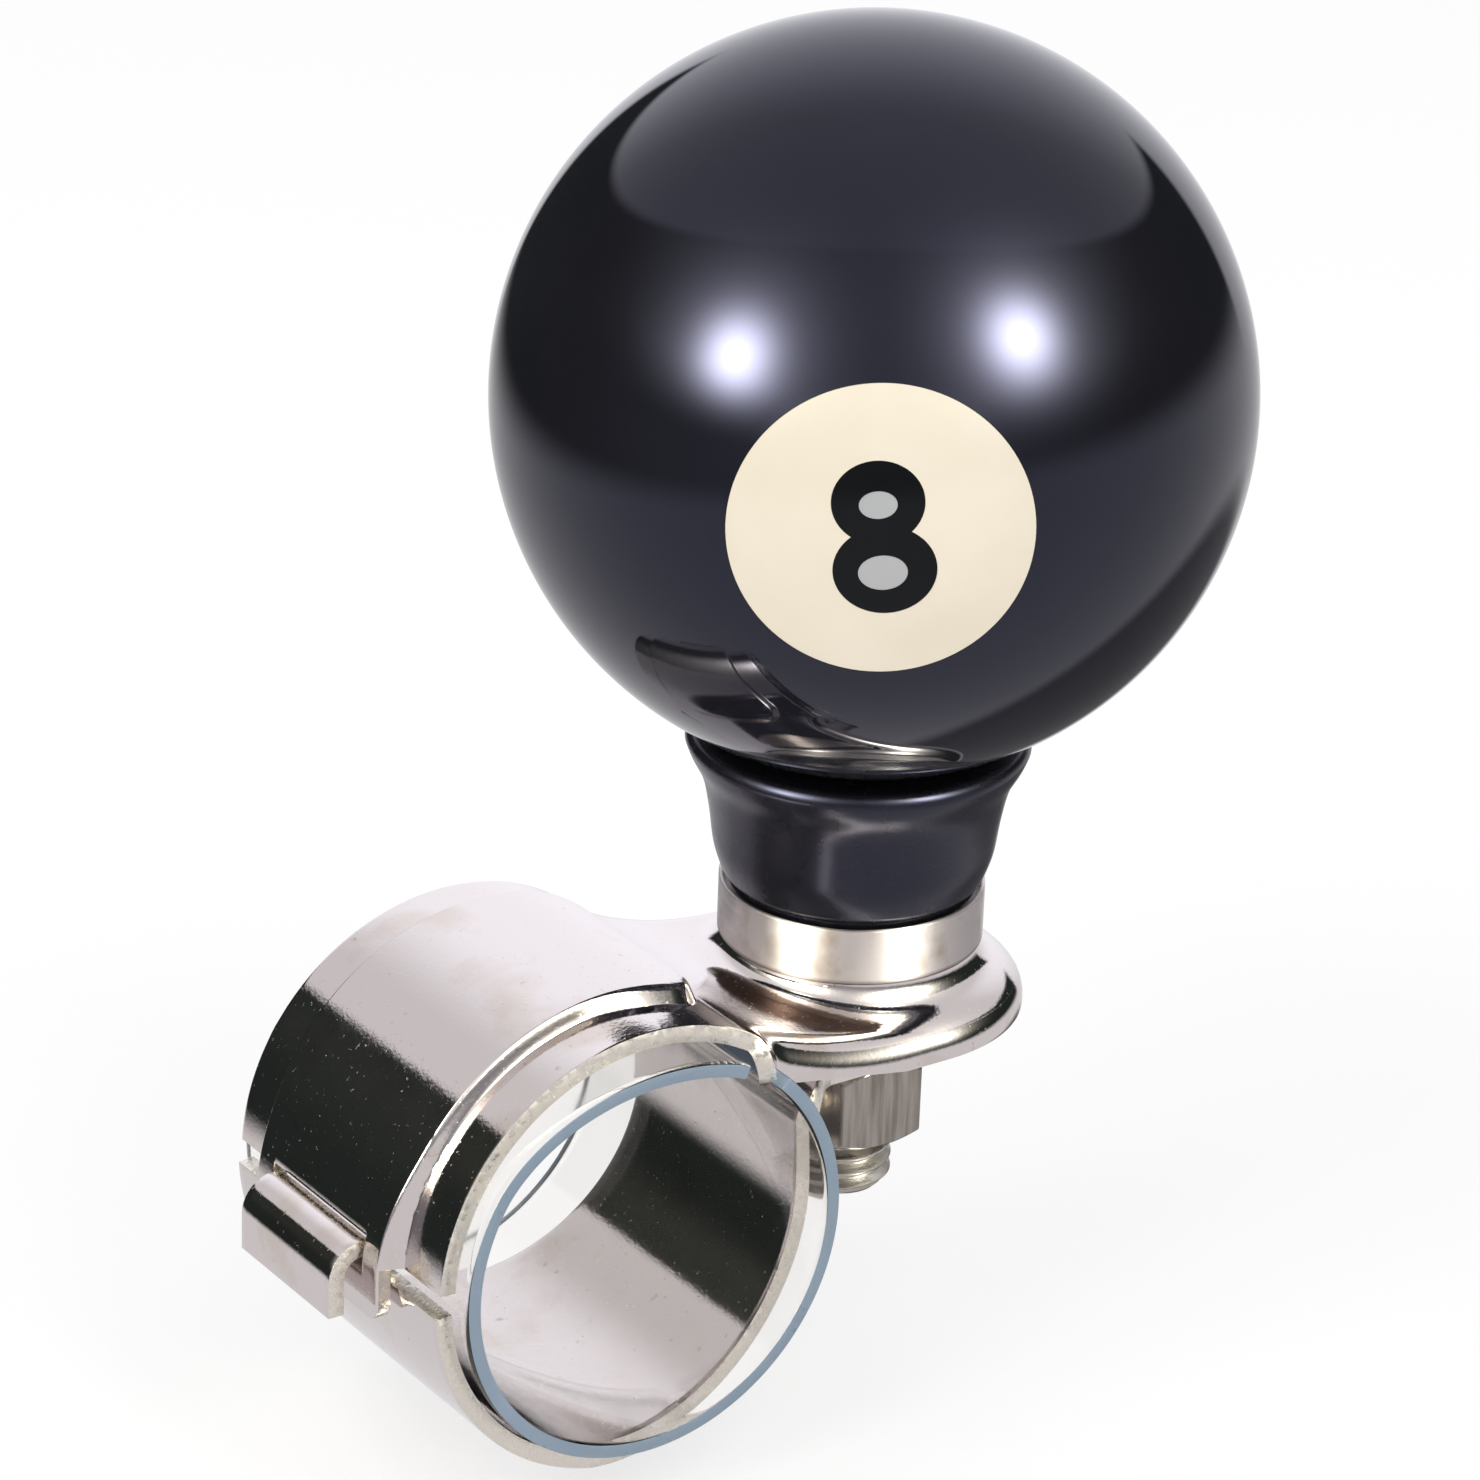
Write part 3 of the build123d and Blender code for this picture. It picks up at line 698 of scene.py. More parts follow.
rows = [[clamp_point(s, v) for v in side] for s in along]
for turn in spread(math.pi / 2, 0, math.radians(3))[1:]:
    row = []
    for v in side:
        out, down = across(knob_x, abs(v))
        y = math.copysign(out * math.sin(turn), v)
        row.append((knob_x + out * math.cos(turn), y, PLATE_TOP - down))
    rows.append(row)
print("net of", len(rows), "rows by", len(side), "columns")

# %% [markdown]
# The boss is drawn up out of the platform as a stub that carries the ring, with a concave
# flare at its foot. A plain turned ring would sink into the plate on one side and hang over
# it on the other. So the plate is left open under the boss, and the boss is a net of its own
# that goes round its sheet. Every point of the flare is measured up from the plate's own
# level there, and its foot runs out smoothly on the flat, up the arch and over the rim.

# %% What is cut away
STUD_R = 4.0
BOSS_R = cup_high.y - 0.55   # the boss is a little narrower than its ring
BOSS_FLARE = 3.3             # how far the flare runs out
BOSS_LAP = 2.3               # how far the plate reaches in under the flare
PLATFORM_LOW = 8             # what lies above this level is the platform


def cut_away(i, j):
    """The window, the corners beside the tongue, and the plate under the boss."""
    corners = [rows[i][j], rows[i + 1][j + 1]]
    x = sum(c[0] for c in corners) / 2
    y = abs(sum(c[1] for c in corners) / 2)
    on_platform = corners[0][2] > PLATFORM_LOW
    if on_platform and math.hypot(x - knob_x, y) < BOSS_R + BOSS_FLARE - BOSS_LAP:
        return True
    if i >= len(along) - 1:
        return False
    s = (along[i] + along[i + 1]) / 2
    column = abs(side[j] + side[j + 1]) / 2 * ARCH_FLAT
    in_window = s_window_low < s < s_window_top and column < WINDOW_HALF
    beside_tongue = s < s_band and column > PANEL_HALF
    return in_window or beside_tongue


clamp_net = net(rows, skip=cut_away)
print(len(clamp_net[1]), "faces are left of the blank")

# %% The boss
BORE_AIR = 0.02
TUCK = 0.004                 # the foot ends this far below the plate, so that it doesn't show


def plate_level(x, y, _):
    """Level of the platform's top under a point: flat, then up to the arch or down its rim."""
    run = max(0.0, sweep_x - x)
    out = math.hypot(x - knob_x, y) if x > knob_x else abs(y)
    over = min(ROLL_R, max(0.0, out - FLAT_HALF))
    fall = ROLL_R - math.sqrt(ROLL_R ** 2 - over ** 2)
    return PLATE_TOP + SWEEP_R - math.sqrt(SWEEP_R ** 2 - run ** 2) - fall


def boss_rows(steps=16):
    """Rows of the boss round its sheet: top, flare, foot, and back along the inside."""
    top, foot = cup_low.z, BOSS_R + BOSS_FLARE
    shares = [k / steps for k in range(steps + 1)]
    skin = [(STUD_R + BORE_AIR, None)]
    skin += [(foot - BOSS_FLARE * math.sin(math.pi / 2 * (1 - k)), k) for k in shares]
    found = []
    for below, line in ((0.0, skin), (SHEET, skin[::-1])):
        for r, k in line:
            bend = None if k is None else math.pi / 2 * (1 - k)
            share = 1.0 if bend is None else 1 - math.cos(bend)
            reach = r if bend is None else r - below * math.sin(bend)
            row = []
            for a in [math.radians(2.5 * step) for step in range(144)]:
                ground = plate_level(*at(r, a, top)) - (TUCK if k == 1 else 0)
                row.append(at(reach, a, ground + (top - ground) * share - below))
            found.append(row)
    return found


print(f"boss: r {BOSS_R:.2f} mm, flaring to {BOSS_R + BOSS_FLARE:.2f} mm")

# %% [markdown]
# The net is only a skin. Solidify gives it the sheet's thickness, with the sheared edge on
# its rim, Bevel takes the sharpness off the cut, and the boss is joined to it.

# %% Build the upper clamp
CUT_ROUND = 0.12             # sheared edges are softened by this much in the tumbler
skin = new_piece("upper_clamp_stamping", [nickel, edge], clamp_net, closed=False)
thicken(skin, SHEET, offset=-1)
soften(skin, CUT_ROUND)
boss = new_piece("boss", [nickel, edge], net(boss_rows(), loop_rows=True, loop_columns=True))
boss.select_set(True)
skin.select_set(True)
bpy.context.view_layer.objects.active = skin
bpy.ops.object.join()
finish(skin, "clamp", ["upper_clamp"])

# %% [markdown]
# ## The lower strap
# The strap is one strip of the same sheet: a hook that hangs in the clamp's window, a half
# round that follows the rim, and a flat ear with a slotted hole for the spindle. An extruded
# outline would have one width all along, and this one narrows, so its middle line is drawn
# first and its width changes along it.

# %% The strap's middle line
HOOK_LEVEL = -0.5
HOOK_R = 1.5 + SHEET / 2
HOOK_TIP = -3.4
HOOK_HALF = 6.3
SHOULDER = -0.9              # level where the hook widens to the strap
EAR_LEVEL = washer_high.z + LAP + SHEET / 2
EAR_BEND_R = 1.2 + SHEET / 2
EAR_R = 9.3
STRAP_NARROW = 10.8
hook_x = -math.sqrt(strap_r ** 2 - HOOK_LEVEL ** 2)
tip_x = hook_x - 2 * HOOK_R


def arc(cx, cz, radius, start, end, step=2.0):
    """Points on an arc, angles in degrees from +X towards +Z."""
    turns = spread(math.radians(start), math.radians(end), math.radians(step))
    return [(cx + radius * math.cos(a), cz + radius * math.sin(a)) for a in turns]


hook_turn = math.degrees(math.atan2(HOOK_LEVEL, hook_x)) + 360
shoulder_turn = 180 + math.degrees(math.asin(-SHOULDER / strap_r))
middle = [(tip_x, z) for z in spread(HOOK_TIP, HOOK_LEVEL, 0.4)]
middle += arc(hook_x - HOOK_R, HOOK_LEVEL, HOOK_R, 180, 0, 6)[1:]
middle += arc(0, 0, strap_r, hook_turn, shoulder_turn)[1:]
on_hook = len(middle)
middle += arc(0, 0, strap_r, shoulder_turn, 360)[1:]
middle += [(strap_r, z) for z in spread(0, EAR_LEVEL - EAR_BEND_R, 0.5)[1:]]
middle += arc(strap_r + EAR_BEND_R, EAR_LEVEL - EAR_BEND_R, EAR_BEND_R, 180, 90, 6)[1:]
middle += [(x, EAR_LEVEL) for x in spread(strap_r + EAR_BEND_R, knob_x, 0.5)[1:]]
print(f"strap: {len(middle)} stations, {on_hook} of them on the hook, tip at x {tip_x:.2f}")

# %% The strap's width
TAPER_FROM = -4              # x where the strap starts to narrow towards the ear


def strap_half(x):
    """Half width of the strap, seen from above."""
    taper = min(1, max(0, (x - TAPER_FROM) / (strap_r - TAPER_FROM)))
    wide = band_half + (STRAP_NARROW - band_half) * taper
    return wide + (EAR_R - STRAP_NARROW) * ease(x, strap_r - 0.5, strap_r + 3.0)


def strap_y(half, v):
    """Columns up to v 0.5 fill the hook's width, and the others reach the edge."""
    if abs(v) <= 0.5:
        out = HOOK_HALF * abs(v) / 0.5
    else:
        out = HOOK_HALF + (half - HOOK_HALF) * (abs(v) - 0.5) / 0.5
    return math.copysign(out, v)


def beside_hook(i, j):
    """The faces beside the hook, which the blank doesn't have."""
    return i < on_hook - 1 and abs(strap_side[j] + strap_side[j + 1]) / 2 > 0.5


strap_side = spread(-1, 1, 0.05)
strap_rows = [[(x, strap_y(strap_half(x), v), z) for v in strap_side] for x, z in middle]
ear_half = [strap_y(EAR_R, v) for v in strap_side]
for turn in spread(math.pi / 2, 0, math.radians(4))[1:]:
    strap_rows.append([(knob_x + abs(y) * math.cos(turn), y * math.sin(turn), EAR_LEVEL)
                       for y in ear_half])
strap_net = net(strap_rows, skip=beside_hook)
strap = new_piece("lower_strap_stamping", [nickel, edge], strap_net, closed=False)
thicken(strap, SHEET)
print("strap half width from", round(band_half, 1), "to", EAR_R, "mm at the ear")

# %% [markdown]
# The ear's hole is a short slot, so that the strap can swing a little as the nut draws it up.
# A net with a hole in it needs its rows bent round the hole. A Boolean is simpler: it cuts
# the slot as a punch would, and the cut's wall takes the punch's own material.

# %% Punch the ear's hole
EAR_HOLE_R = 4.8
SLOT_SHIFT = 0.8             # each half of the slot stands this far from the axis
PUNCH_REACH = 3              # the punch stands out this far above and below the ear
punch_line = [(knob_x + SLOT_SHIFT + EAR_HOLE_R * math.cos(a), EAR_HOLE_R * math.sin(a))
              for a in spread(-math.pi / 2, math.pi / 2, math.radians(5))]
punch_line += [(2 * knob_x - x, -y) for x, y in punch_line]
punch_rows = [[(x, y, z) for x, y in punch_line]
              for z in (EAR_LEVEL - PUNCH_REACH, EAR_LEVEL + PUNCH_REACH)]
count = len(punch_line)
punch_caps = [tuple(range(count))[::-1], tuple(range(count, 2 * count))]
caps = (punch_rows[0] + punch_rows[1], punch_caps, [1, 1])
punch = new_piece("punch", [nickel, edge], net(punch_rows, loop_columns=True, stock=1), caps)
modify(strap, "BOOLEAN", operation="DIFFERENCE", object=punch, solver="EXACT")
bpy.data.objects.remove(punch)
soften(strap, CUT_ROUND)
finish(strap, "strap", ["lower_strap"])

# %% [markdown]
# ## The sleeve
# A strip of clear vinyl, rolled into the clamp so that steel never touches the wheel. It has
# taken the clamp's shape, except near its slit, where one end hangs a little slack. A pipe
# with a slot would be quicker but stiff and round, so the strip is drawn as a net of rows
# along its roll, with the slack taken off the radius, and then thickened.

# %% Sleeve
SLEEVE_T = 1.1
SLEEVE_FROM, SLEEVE_TO = 60, 406             # degrees from +X; the slit is between the ends
SLACK_FROM, SLACK_RUN = 40, 108              # degrees over which it hangs slack
SLACK = 1.3                  # how far in it hangs
VINYL_ROUND = 0.15           # a knife's cut, rounded by handling
sleeve_mid = sleeve_r - SLEEVE_T / 2
sleeve_half = sleeve_high.y


def slack(degrees):
    """How far the sleeve hangs inwards at a place round it."""
    share = min(1, max(0, (degrees - SLACK_FROM) / SLACK_RUN))
    return SLACK * math.sin(math.pi * share) ** 1.3


sleeve_rows = []
for degrees in spread(SLEEVE_FROM, SLEEVE_TO, 2):
    r = sleeve_mid - (slack(degrees) if degrees <= SLACK_FROM + SLACK_RUN else 0)
    x, z = r * math.cos(math.radians(degrees)), r * math.sin(math.radians(degrees))
    sleeve_rows.append([(x, y, z) for y in spread(-sleeve_half, sleeve_half, 0.8)])
sleeve = new_piece("rim_sleeve", [vinyl, vinyl_cut], net(sleeve_rows), closed=False)
thicken(sleeve, SLEEVE_T)
soften(sleeve, VINYL_ROUND)
finish(sleeve, "clamp", ["rim_liner"])

# %% [markdown]
# ## The nut
# The nut is a hexagon with a cone turned off each end. A six-sided cylinder with a Bevel
# would have straight chamfers. Here every column of the net stands at one angle: the flat's
# distance there gives the side, and where that distance meets the cone gives the curved line
# that is seen on every real nut.

# %% Nut
NUT_TURNED = math.radians(-5)                # as it happened to be tightened
NUT_FLAT_R = 6.0             # half of a 12 mm spanner size
FACE_R = NUT_FLAT_R - 0.2    # where the cone meets the end face
CONE = math.tan(math.radians(35))
MOUTH_R, MOUTH = STUD_R + 0.5, 0.44          # the bore's countersink, and its depth
CONE_ROOM = 2.0              # the cones end within this of the end faces
NUT_ROUND = 0.14
SIXTH = math.radians(60)


def nut_column(angle):
    """One column of the nut, from the bore's lower end round the outside and back."""
    off_flat = (angle - NUT_TURNED) % SIXTH - SIXTH / 2
    side = NUT_FLAT_R / math.cos(off_flat)
    drop = (side - FACE_R) * CONE
    low, high, bore = nut_low.z, nut_high.z, STUD_R + 0.06
    line = [(bore, low + MOUTH), (MOUTH_R, low), (FACE_R, low), (side, low + drop)]
    line += [(side, z) for z in spread(low + CONE_ROOM, high - CONE_ROOM, 0.8)]
    line += [(side, high - drop), (FACE_R, high), (MOUTH_R, high), (bore, high - MOUTH)]
    return [at(r, angle, z) for r, z in line]


nut_turns = [NUT_TURNED + math.radians(k * 2.5) for k in range(144)]
nut_net = net([nut_column(a) for a in nut_turns], loop_rows=True, loop_columns=True)
nut = new_piece("clamp_nut_hex", [satin_nickel], nut_net)
soften(nut, NUT_ROUND, degrees=28)
finish(nut, "nut", ["clamp_nut"], smooth=25)

# %% [markdown]
# ## The spring washer
# A split ring of square wire between nut and ear. A torus would give round wire, so a square
# with rounded corners is swept round the axis instead, and the two cut ends are closed.

# %% An outline with rounded corners


def rounded(corners, steps=5):
    """An outline from (r, z, rounding) corners, each rounding drawn as a short arc."""
    outline = []
    for k, (x, z, radius) in enumerate(corners):
        here = Vector((x, z))
        if radius == 0:
            outline.append((x, z))
            continue
        back = (Vector(corners[k - 1][:2]) - here).normalized()
        on = (Vector(corners[(k + 1) % len(corners)][:2]) - here).normalized()
        half = back.angle(on) / 2
        centre = here + (back + on).normalized() * (radius / math.sin(half))
        start = here + back * (radius / math.tan(half)) - centre
        end = here + on * (radius / math.tan(half)) - centre
        for step in range(steps + 1):
            arm = start.lerp(end, step / steps).normalized() * radius
            outline.append(tuple(centre + arm))
    return outline


wire_in, wire_out = STUD_R + 0.35, washer_high.y
wire = rounded([(wire_in, washer_low.z, 0.15), (wire_out, washer_low.z, 0.2),
                (wire_out, washer_high.z, 0.2), (wire_in, washer_high.z, 0.15)], steps=3)
print("the wire's outline has", len(wire), "points")

# %% Washer
WASHER_CUT = math.radians(200)               # which way the split faces
SPLIT, WIRE_MEAN_R = 1.2, 5.2
half_cut = SPLIT / 2 / WIRE_MEAN_R
washer_turns = spread(
    WASHER_CUT + half_cut, WASHER_CUT - half_cut + 2 * math.pi, math.radians(4))
washer_rows = [[at(r, a, z) for r, z in wire] for a in washer_turns]
washer_points = [point for row in washer_rows for point in row]
last = len(washer_points) - len(wire)
first_end, last_end = tuple(range(len(wire))), tuple(range(last, last + len(wire)))
washer_ends = (washer_points, [first_end, last_end[::-1]], [0, 0])
washer_net = net(washer_rows, loop_columns=True)
washer = new_piece("spring_washer", [spring_steel], washer_net, washer_ends)
finish(washer, "washer", ["lock_washer"])

# %% [markdown]
# ## The spindle
# The spindle's lower end is an M8 stud. A Screw modifier could draw its thread, but it leaves
# a ragged end. Here the rows follow the thread's helix, each one at a fixed place on the
# thread's profile, so crest and root run true, and a row that would pass the stud's end is
# gathered into the flat end.

# %% The thread
PITCH = 1.25                 # M8 coarse thread
THREAD = [(0.0, 4.0), (0.10, 4.0), (0.20, 3.86), (0.42, 3.47), (0.52, 3.36),
          (0.68, 3.36), (0.78, 3.47), (0.95, 3.94)]     # share of a turn, and radius
END_R = 3.1                  # the stud's flat end inside its chamfer
SHANK_R = 3.9                # the plain part above the thread
stud_end = stud_low.z
thread_top = washer_high.z + 2.0


def thread_point(height, r, angle):
    """A point of the thread, cut off at the stud's end and at the plain shank."""
    z = height + PITCH * angle / (2 * math.pi)
    if z <= stud_end:
        return at(END_R, angle, stud_end)
    end_r = END_R + z - stud_end
    if z >= thread_top:
        z, r = thread_top, SHANK_R
    return at(min(r, end_r), angle, z)


around = spread(0, 2 * math.pi, math.radians(4))
turns_of_thread = range(-1, math.ceil((thread_top + 1 - stud_end) / PITCH))
thread_rows = [[thread_point(stud_end + PITCH * (k + part), r, a) for a in around]
               for k in turns_of_thread for part, r in THREAD]
print("thread of", len(turns_of_thread), "turns, pitch", PITCH, "mm")

# %% [markdown]
# Above the thread the spindle is plain turned work, so its outline is swept once round the
# axis: a collar that carries the bearing, a seat for its inner race, and a groove for the
# clip.

# %% Spindle


def turned(outline, steps, closed=True):
    """Net of a piece turned about the knob's axis, from an (r, z) outline."""
    turns = [2 * math.pi * k / steps for k in range(steps)]
    rows = [[at(r, a, z) for a in turns] for r, z in outline]
    return net(rows, loop_rows=closed, loop_columns=True)


COLLAR_R, COLLAR_T = 7.0, 2.2
RACE_R, RACE_TOP = 4.2, 18.3                 # seat of the bearing's inner race
PIN_R, GROOVE_R = 2.99, 2.49                 # the thin upper end, and the clip's groove
GROOVE_LOW, GROOVE_TOP = 23.3, 24.1
CENTRE = 0.01                # a ring this small closes a turned piece on its axis
collar_low = cup_low.z + 0.9
upper = [
    (SHANK_R, thread_top), (3.95, collar_low), (COLLAR_R, collar_low),
    (COLLAR_R, collar_low + COLLAR_T - 0.3), (COLLAR_R - 0.3, collar_low + COLLAR_T),
    (RACE_R, collar_low + COLLAR_T), (RACE_R, RACE_TOP), (PIN_R, RACE_TOP),
    (PIN_R, GROOVE_LOW), (GROOVE_R, GROOVE_LOW), (GROOVE_R, GROOVE_TOP), (PIN_R, GROOVE_TOP),
    (PIN_R, 24.7), (GROOVE_R, stud_high.z), (CENTRE, stud_high.z),
]
end_face = [[at(r, a, stud_end) for a in around] for r in (CENTRE, END_R)]
spindle = new_piece("spindle_and_stud", [turned_steel], net(end_face), net(thread_rows),
                    turned(upper, 90, closed=False))
finish(spindle, "clamp", ["spindle"])

# %% [markdown]
# ## The bearing cup
# A turned and plated ring that stands on the boss and hides the bearing. A tube with a Bevel
# would do for its outside, but it is hollow below too, so its whole section is drawn as one
# outline and turned. Its thin lip closes round the neck's foot and catches the light as a
# bright line.

# %% Cup
cup_r = cup_high.y
lip_r = cup_r - 0.35
POCKET_R, POCKET_TOP = 7.2, 16.9             # the hollow that the collar and bearing fill
BORE_R = STUD_R + BORE_AIR
cup_line = rounded([
    (BORE_R, cup_low.z, 0), (cup_r, cup_low.z, 0.25), (cup_r, cup_high.z, 0.15),
    (lip_r, cup_high.z, 0.1), (lip_r, POCKET_TOP, 0), (POCKET_R, POCKET_TOP, 0),
    (POCKET_R, collar_low, 0), (BORE_R, collar_low, 0),
])
cup = new_piece("bearing_cup_ring", [ring_nickel], turned(cup_line, 192))
finish(cup, "clamp", ["bearing_cup"])

# %% [markdown]
# ## The neck
# A moulded, flared neck. Arcs set end to end would meet without a corner, but a highlight
# would still kink where one radius gives way to the next. So its side is one natural cubic
# spline from the foot's shoulder to the rim, whose curvature never jumps.

# %% A smooth line through points


def smooth_line(points, count):
    """A natural cubic spline through points, as count + 1 points evenly spread along it."""
    line = np.array(points, float)
    steps = np.linalg.norm(np.diff(line, axis=0), axis=1)
    along = np.concatenate([[0], np.cumsum(steps)])
    size = len(line)
    matrix = np.eye(size)
    right = np.zeros_like(line)
    for k in range(1, size - 1):
        before, after = steps[k - 1], steps[k]
        matrix[k, k - 1:k + 2] = before, 2 * (before + after), after
        right[k] = 6 * ((line[k + 1] - line[k]) / after - (line[k] - line[k - 1]) / before)
    bend = np.linalg.solve(matrix, right)
    found = []
    for t in np.linspace(0, along[-1], count + 1):
        k = min(size - 2, max(0, int(np.searchsorted(along, t)) - 1))
        a, b, h = along[k + 1] - t, t - along[k], steps[k]
        curve = bend[k] * a ** 3 / (6 * h) + bend[k + 1] * b ** 3 / (6 * h)
        start, end = line[k] / h - bend[k] * h / 6, line[k + 1] / h - bend[k + 1] * h / 6
        found.append(curve + start * a + end * b)
    return [tuple(float(c) for c in p) for p in found]


neck_top = neck_high.z
rim_r = 13.2
RIM_ROUND, RIM_DEEP = 0.75, 1.0              # the rim's rounding, taller than it is wide
neck_side = smooth_line([
    (cup_r - 0.15, cup_high.z + 0.75), (10.8, 20.9), (11.05, 22.6), (11.45, 25.0),
    (12.0, 26.9), (12.85, 28.5), (rim_r, neck_top - RIM_DEEP),
], 48)[::-1]
print("the neck's side from r", round(neck_side[0][0], 2), "to", round(neck_side[-1][0], 2))

# %% [markdown]
# The ball sits in a spherical seat on top, with a thin dark gap left between ball and rim,
# and a stepped bore below takes the bearing. All of it is one outline, so one turn makes it.

# %% Neck
SEAT_EDGE = 9.88             # the ball's seat ends here, and the gap begins
SEAT_GAP = 0.05
BEARING_R, CLIP_R = 7.5, 6.2                 # bore round the bearing, and round the clip
CLIP_TOP = 26.3
foot_r = cup_r - 0.7
seat_ball_r = ball_r + SEAT_GAP
rim_z = neck_top - RIM_DEEP
rim = [(r, rim_z + (z - rim_z) * RIM_DEEP / RIM_ROUND)
       for r, z in arc(rim_r - RIM_ROUND, rim_z, RIM_ROUND, 90, 0, 12)]
neck_line = [(r, ball_z - math.sqrt(seat_ball_r ** 2 - r ** 2))
             for r in spread(STUD_R, SEAT_EDGE, 0.6)]
neck_line += [(SEAT_EDGE, neck_top)] + rim + neck_side[1:]
neck_line += [
    (foot_r, cup_high.z + 0.3), (foot_r, neck_low.z + 0.3), (foot_r - 0.3, neck_low.z),
    (BEARING_R, neck_low.z), (BEARING_R, GROOVE_LOW), (CLIP_R, GROOVE_LOW),
    (CLIP_R, CLIP_TOP), (STUD_R, CLIP_TOP),
]
neck = new_piece("flared_neck", [neck_abs], turned(neck_line, 192))
finish(neck, "knob", ["neck"], smooth=50)

# %% [markdown]
# ## The ball
# A pool ball, 2 1/4 inches across, turned from one casting with the two discs let in. On a
# plain sphere the seam round a disc would step from face to face. So this net runs from one
# disc's edge to the other, as rings about the line through both discs, and each seam is a
# true circle. The black part is one piece and each disc one.

# %% Which way the discs face
DISC_FACING = math.radians(-124.5)
DISC_R = 10.9
SEAM = 0.03                  # hairline of filler round each disc
centre = Vector((knob_x, 0, ball_z))
front_axes = Matrix.Rotation(DISC_FACING, 3, "Z") @ Matrix.Rotation(math.pi / 2, 3, "Y")
front_axes = front_axes @ Matrix.Rotation(math.pi / 2, 3, "Z")
rear_axes = Matrix.Rotation(math.pi, 3, "Z") @ front_axes
print("the front disc faces", [round(c, 2) for c in front_axes.col[2]])

# %% Ball
POCKET = 0.97                # the disc's pocket goes down to this share of the radius
pocket_r = POCKET * ball_r
ring_turns = [2 * math.pi * k / 256 for k in range(256)]


def disc_edge(r):
    """How far round from the disc's middle its edge lies, on a ball of radius r."""
    return math.asin((DISC_R + SEAM) / r)


def ball_ring(turn, r):
    """A ring about the discs' line at an angle from the front disc's middle."""
    level = Vector((0, 0, r * math.cos(turn)))
    ring = []
    for a in ring_turns:
        out = r * math.sin(turn) * Vector((math.cos(a), math.sin(a), 0))
        ring.append(tuple(centre + front_axes @ (level + out)))
    return ring


ball_rows = [ball_ring(disc_edge(pocket_r), pocket_r)]
for turn in spread(disc_edge(ball_r), math.pi - disc_edge(ball_r), math.radians(1.4)):
    ball_rows.append(ball_ring(turn, ball_r))
ball_rows.append(ball_ring(math.pi - disc_edge(pocket_r), pocket_r))
ball = new_piece("eight_ball", [ball_resin], net(ball_rows, loop_columns=True), closed=False)
pick(ball)
bpy.ops.object.mode_set(mode="EDIT")
bpy.ops.mesh.select_all(action="SELECT")
bpy.ops.mesh.edge_face_add()
bpy.ops.mesh.normals_make_consistent(inside=False)
bpy.ops.object.mode_set(mode="OBJECT")
finish(ball, "knob", ["ball"], smooth=30)

# %% [markdown]
# The figure could be a text object, but no typeface has this plain, fat eight. It is drawn
# as two rings, upper and lower, each between an oval counter and an oval outline, and leaned
# a little. The disc under it carries the paler resin of the counters.

# %% The figure's two rings
LEAN = math.radians(5)
FIGURE = {                   # outline's middle and radii, then the counter's
    "upper": ((-0.1, 2.72), (3.3, 3.03), (-0.1, 2.6), (1.36, 1.0)),
    "lower": ((0.15, -2.35), (3.68, 3.4), (0.0, -2.5), (1.75, 1.35)),
}
WALL_DEEP = -0.3             # the inlay's walls go down this far


def lean(x, y, angle=LEAN):
    """Turn the drawing a little to the left."""
    return (x * math.cos(angle) - y * math.sin(angle), x * math.sin(angle) + y * math.cos(angle))


def in_oval(x, y, middle_of, radii, grow):
    """Whether a point lies in an oval whose radii are grown by grow."""
    x_share = (x - middle_of[0]) / (radii[0] + grow)
    y_share = (y - middle_of[1]) / (radii[1] + grow)
    return math.hypot(x_share, y_share) < 1


def ring_rows(part, proud, count=96, deep=8):
    """Rows from the counter's edge to the outline, with short walls down into the disc."""
    (ox, oy), (orx, ory), (cx, cy), (crx, cry) = FIGURE[part]
    found = []
    tops = [(k / deep, proud) for k in range(deep + 1)]
    for share, height in [(0, WALL_DEEP)] + tops + [(1, WALL_DEEP)]:
        row = []
        for a in [2 * math.pi * k / count for k in range(count)]:
            x = (cx + crx * math.cos(a)) * (1 - share) + (ox + orx * math.cos(a)) * share
            y = (cy + cry * math.sin(a)) * (1 - share) + (oy + ory * math.sin(a)) * share
            row.append((*lean(x, y), height))
        found.append(row)
    return found


(_, top_middle), (_, top_half) = FIGURE["upper"][:2]
(_, foot_middle), (_, foot_half) = FIGURE["lower"][:2]
print("the figure is", round(top_middle + top_half - foot_middle + foot_half, 1), "mm high")

# %% [markdown]
# Both discs are alike, so one loop makes them. The drawing is flat, and each of its points is
# laid on the ball, so disc and figure are as round as the ball. The figure stands a hundredth
# of a millimetre proud, which keeps its face clear of the disc's.

# %% Lay the drawing on the ball


def on_ball(axes, x, y, proud=0.0):
    """A point of the disc's drawing, x right and y up, laid on the ball's surface."""
    r = ball_r + proud
    out = math.sqrt(r * r - x * x - y * y)
    return tuple(centre + axes @ Vector((x, y, out)))


def disc_row(axes, r, proud=0.0):
    """A ring of the disc."""
    return [on_ball(axes, r * math.cos(a), r * math.sin(a), proud) for a in ring_turns[::2]]


print("the front figure's middle lies at", [round(c, 1) for c in on_ball(front_axes, 0, 0)])

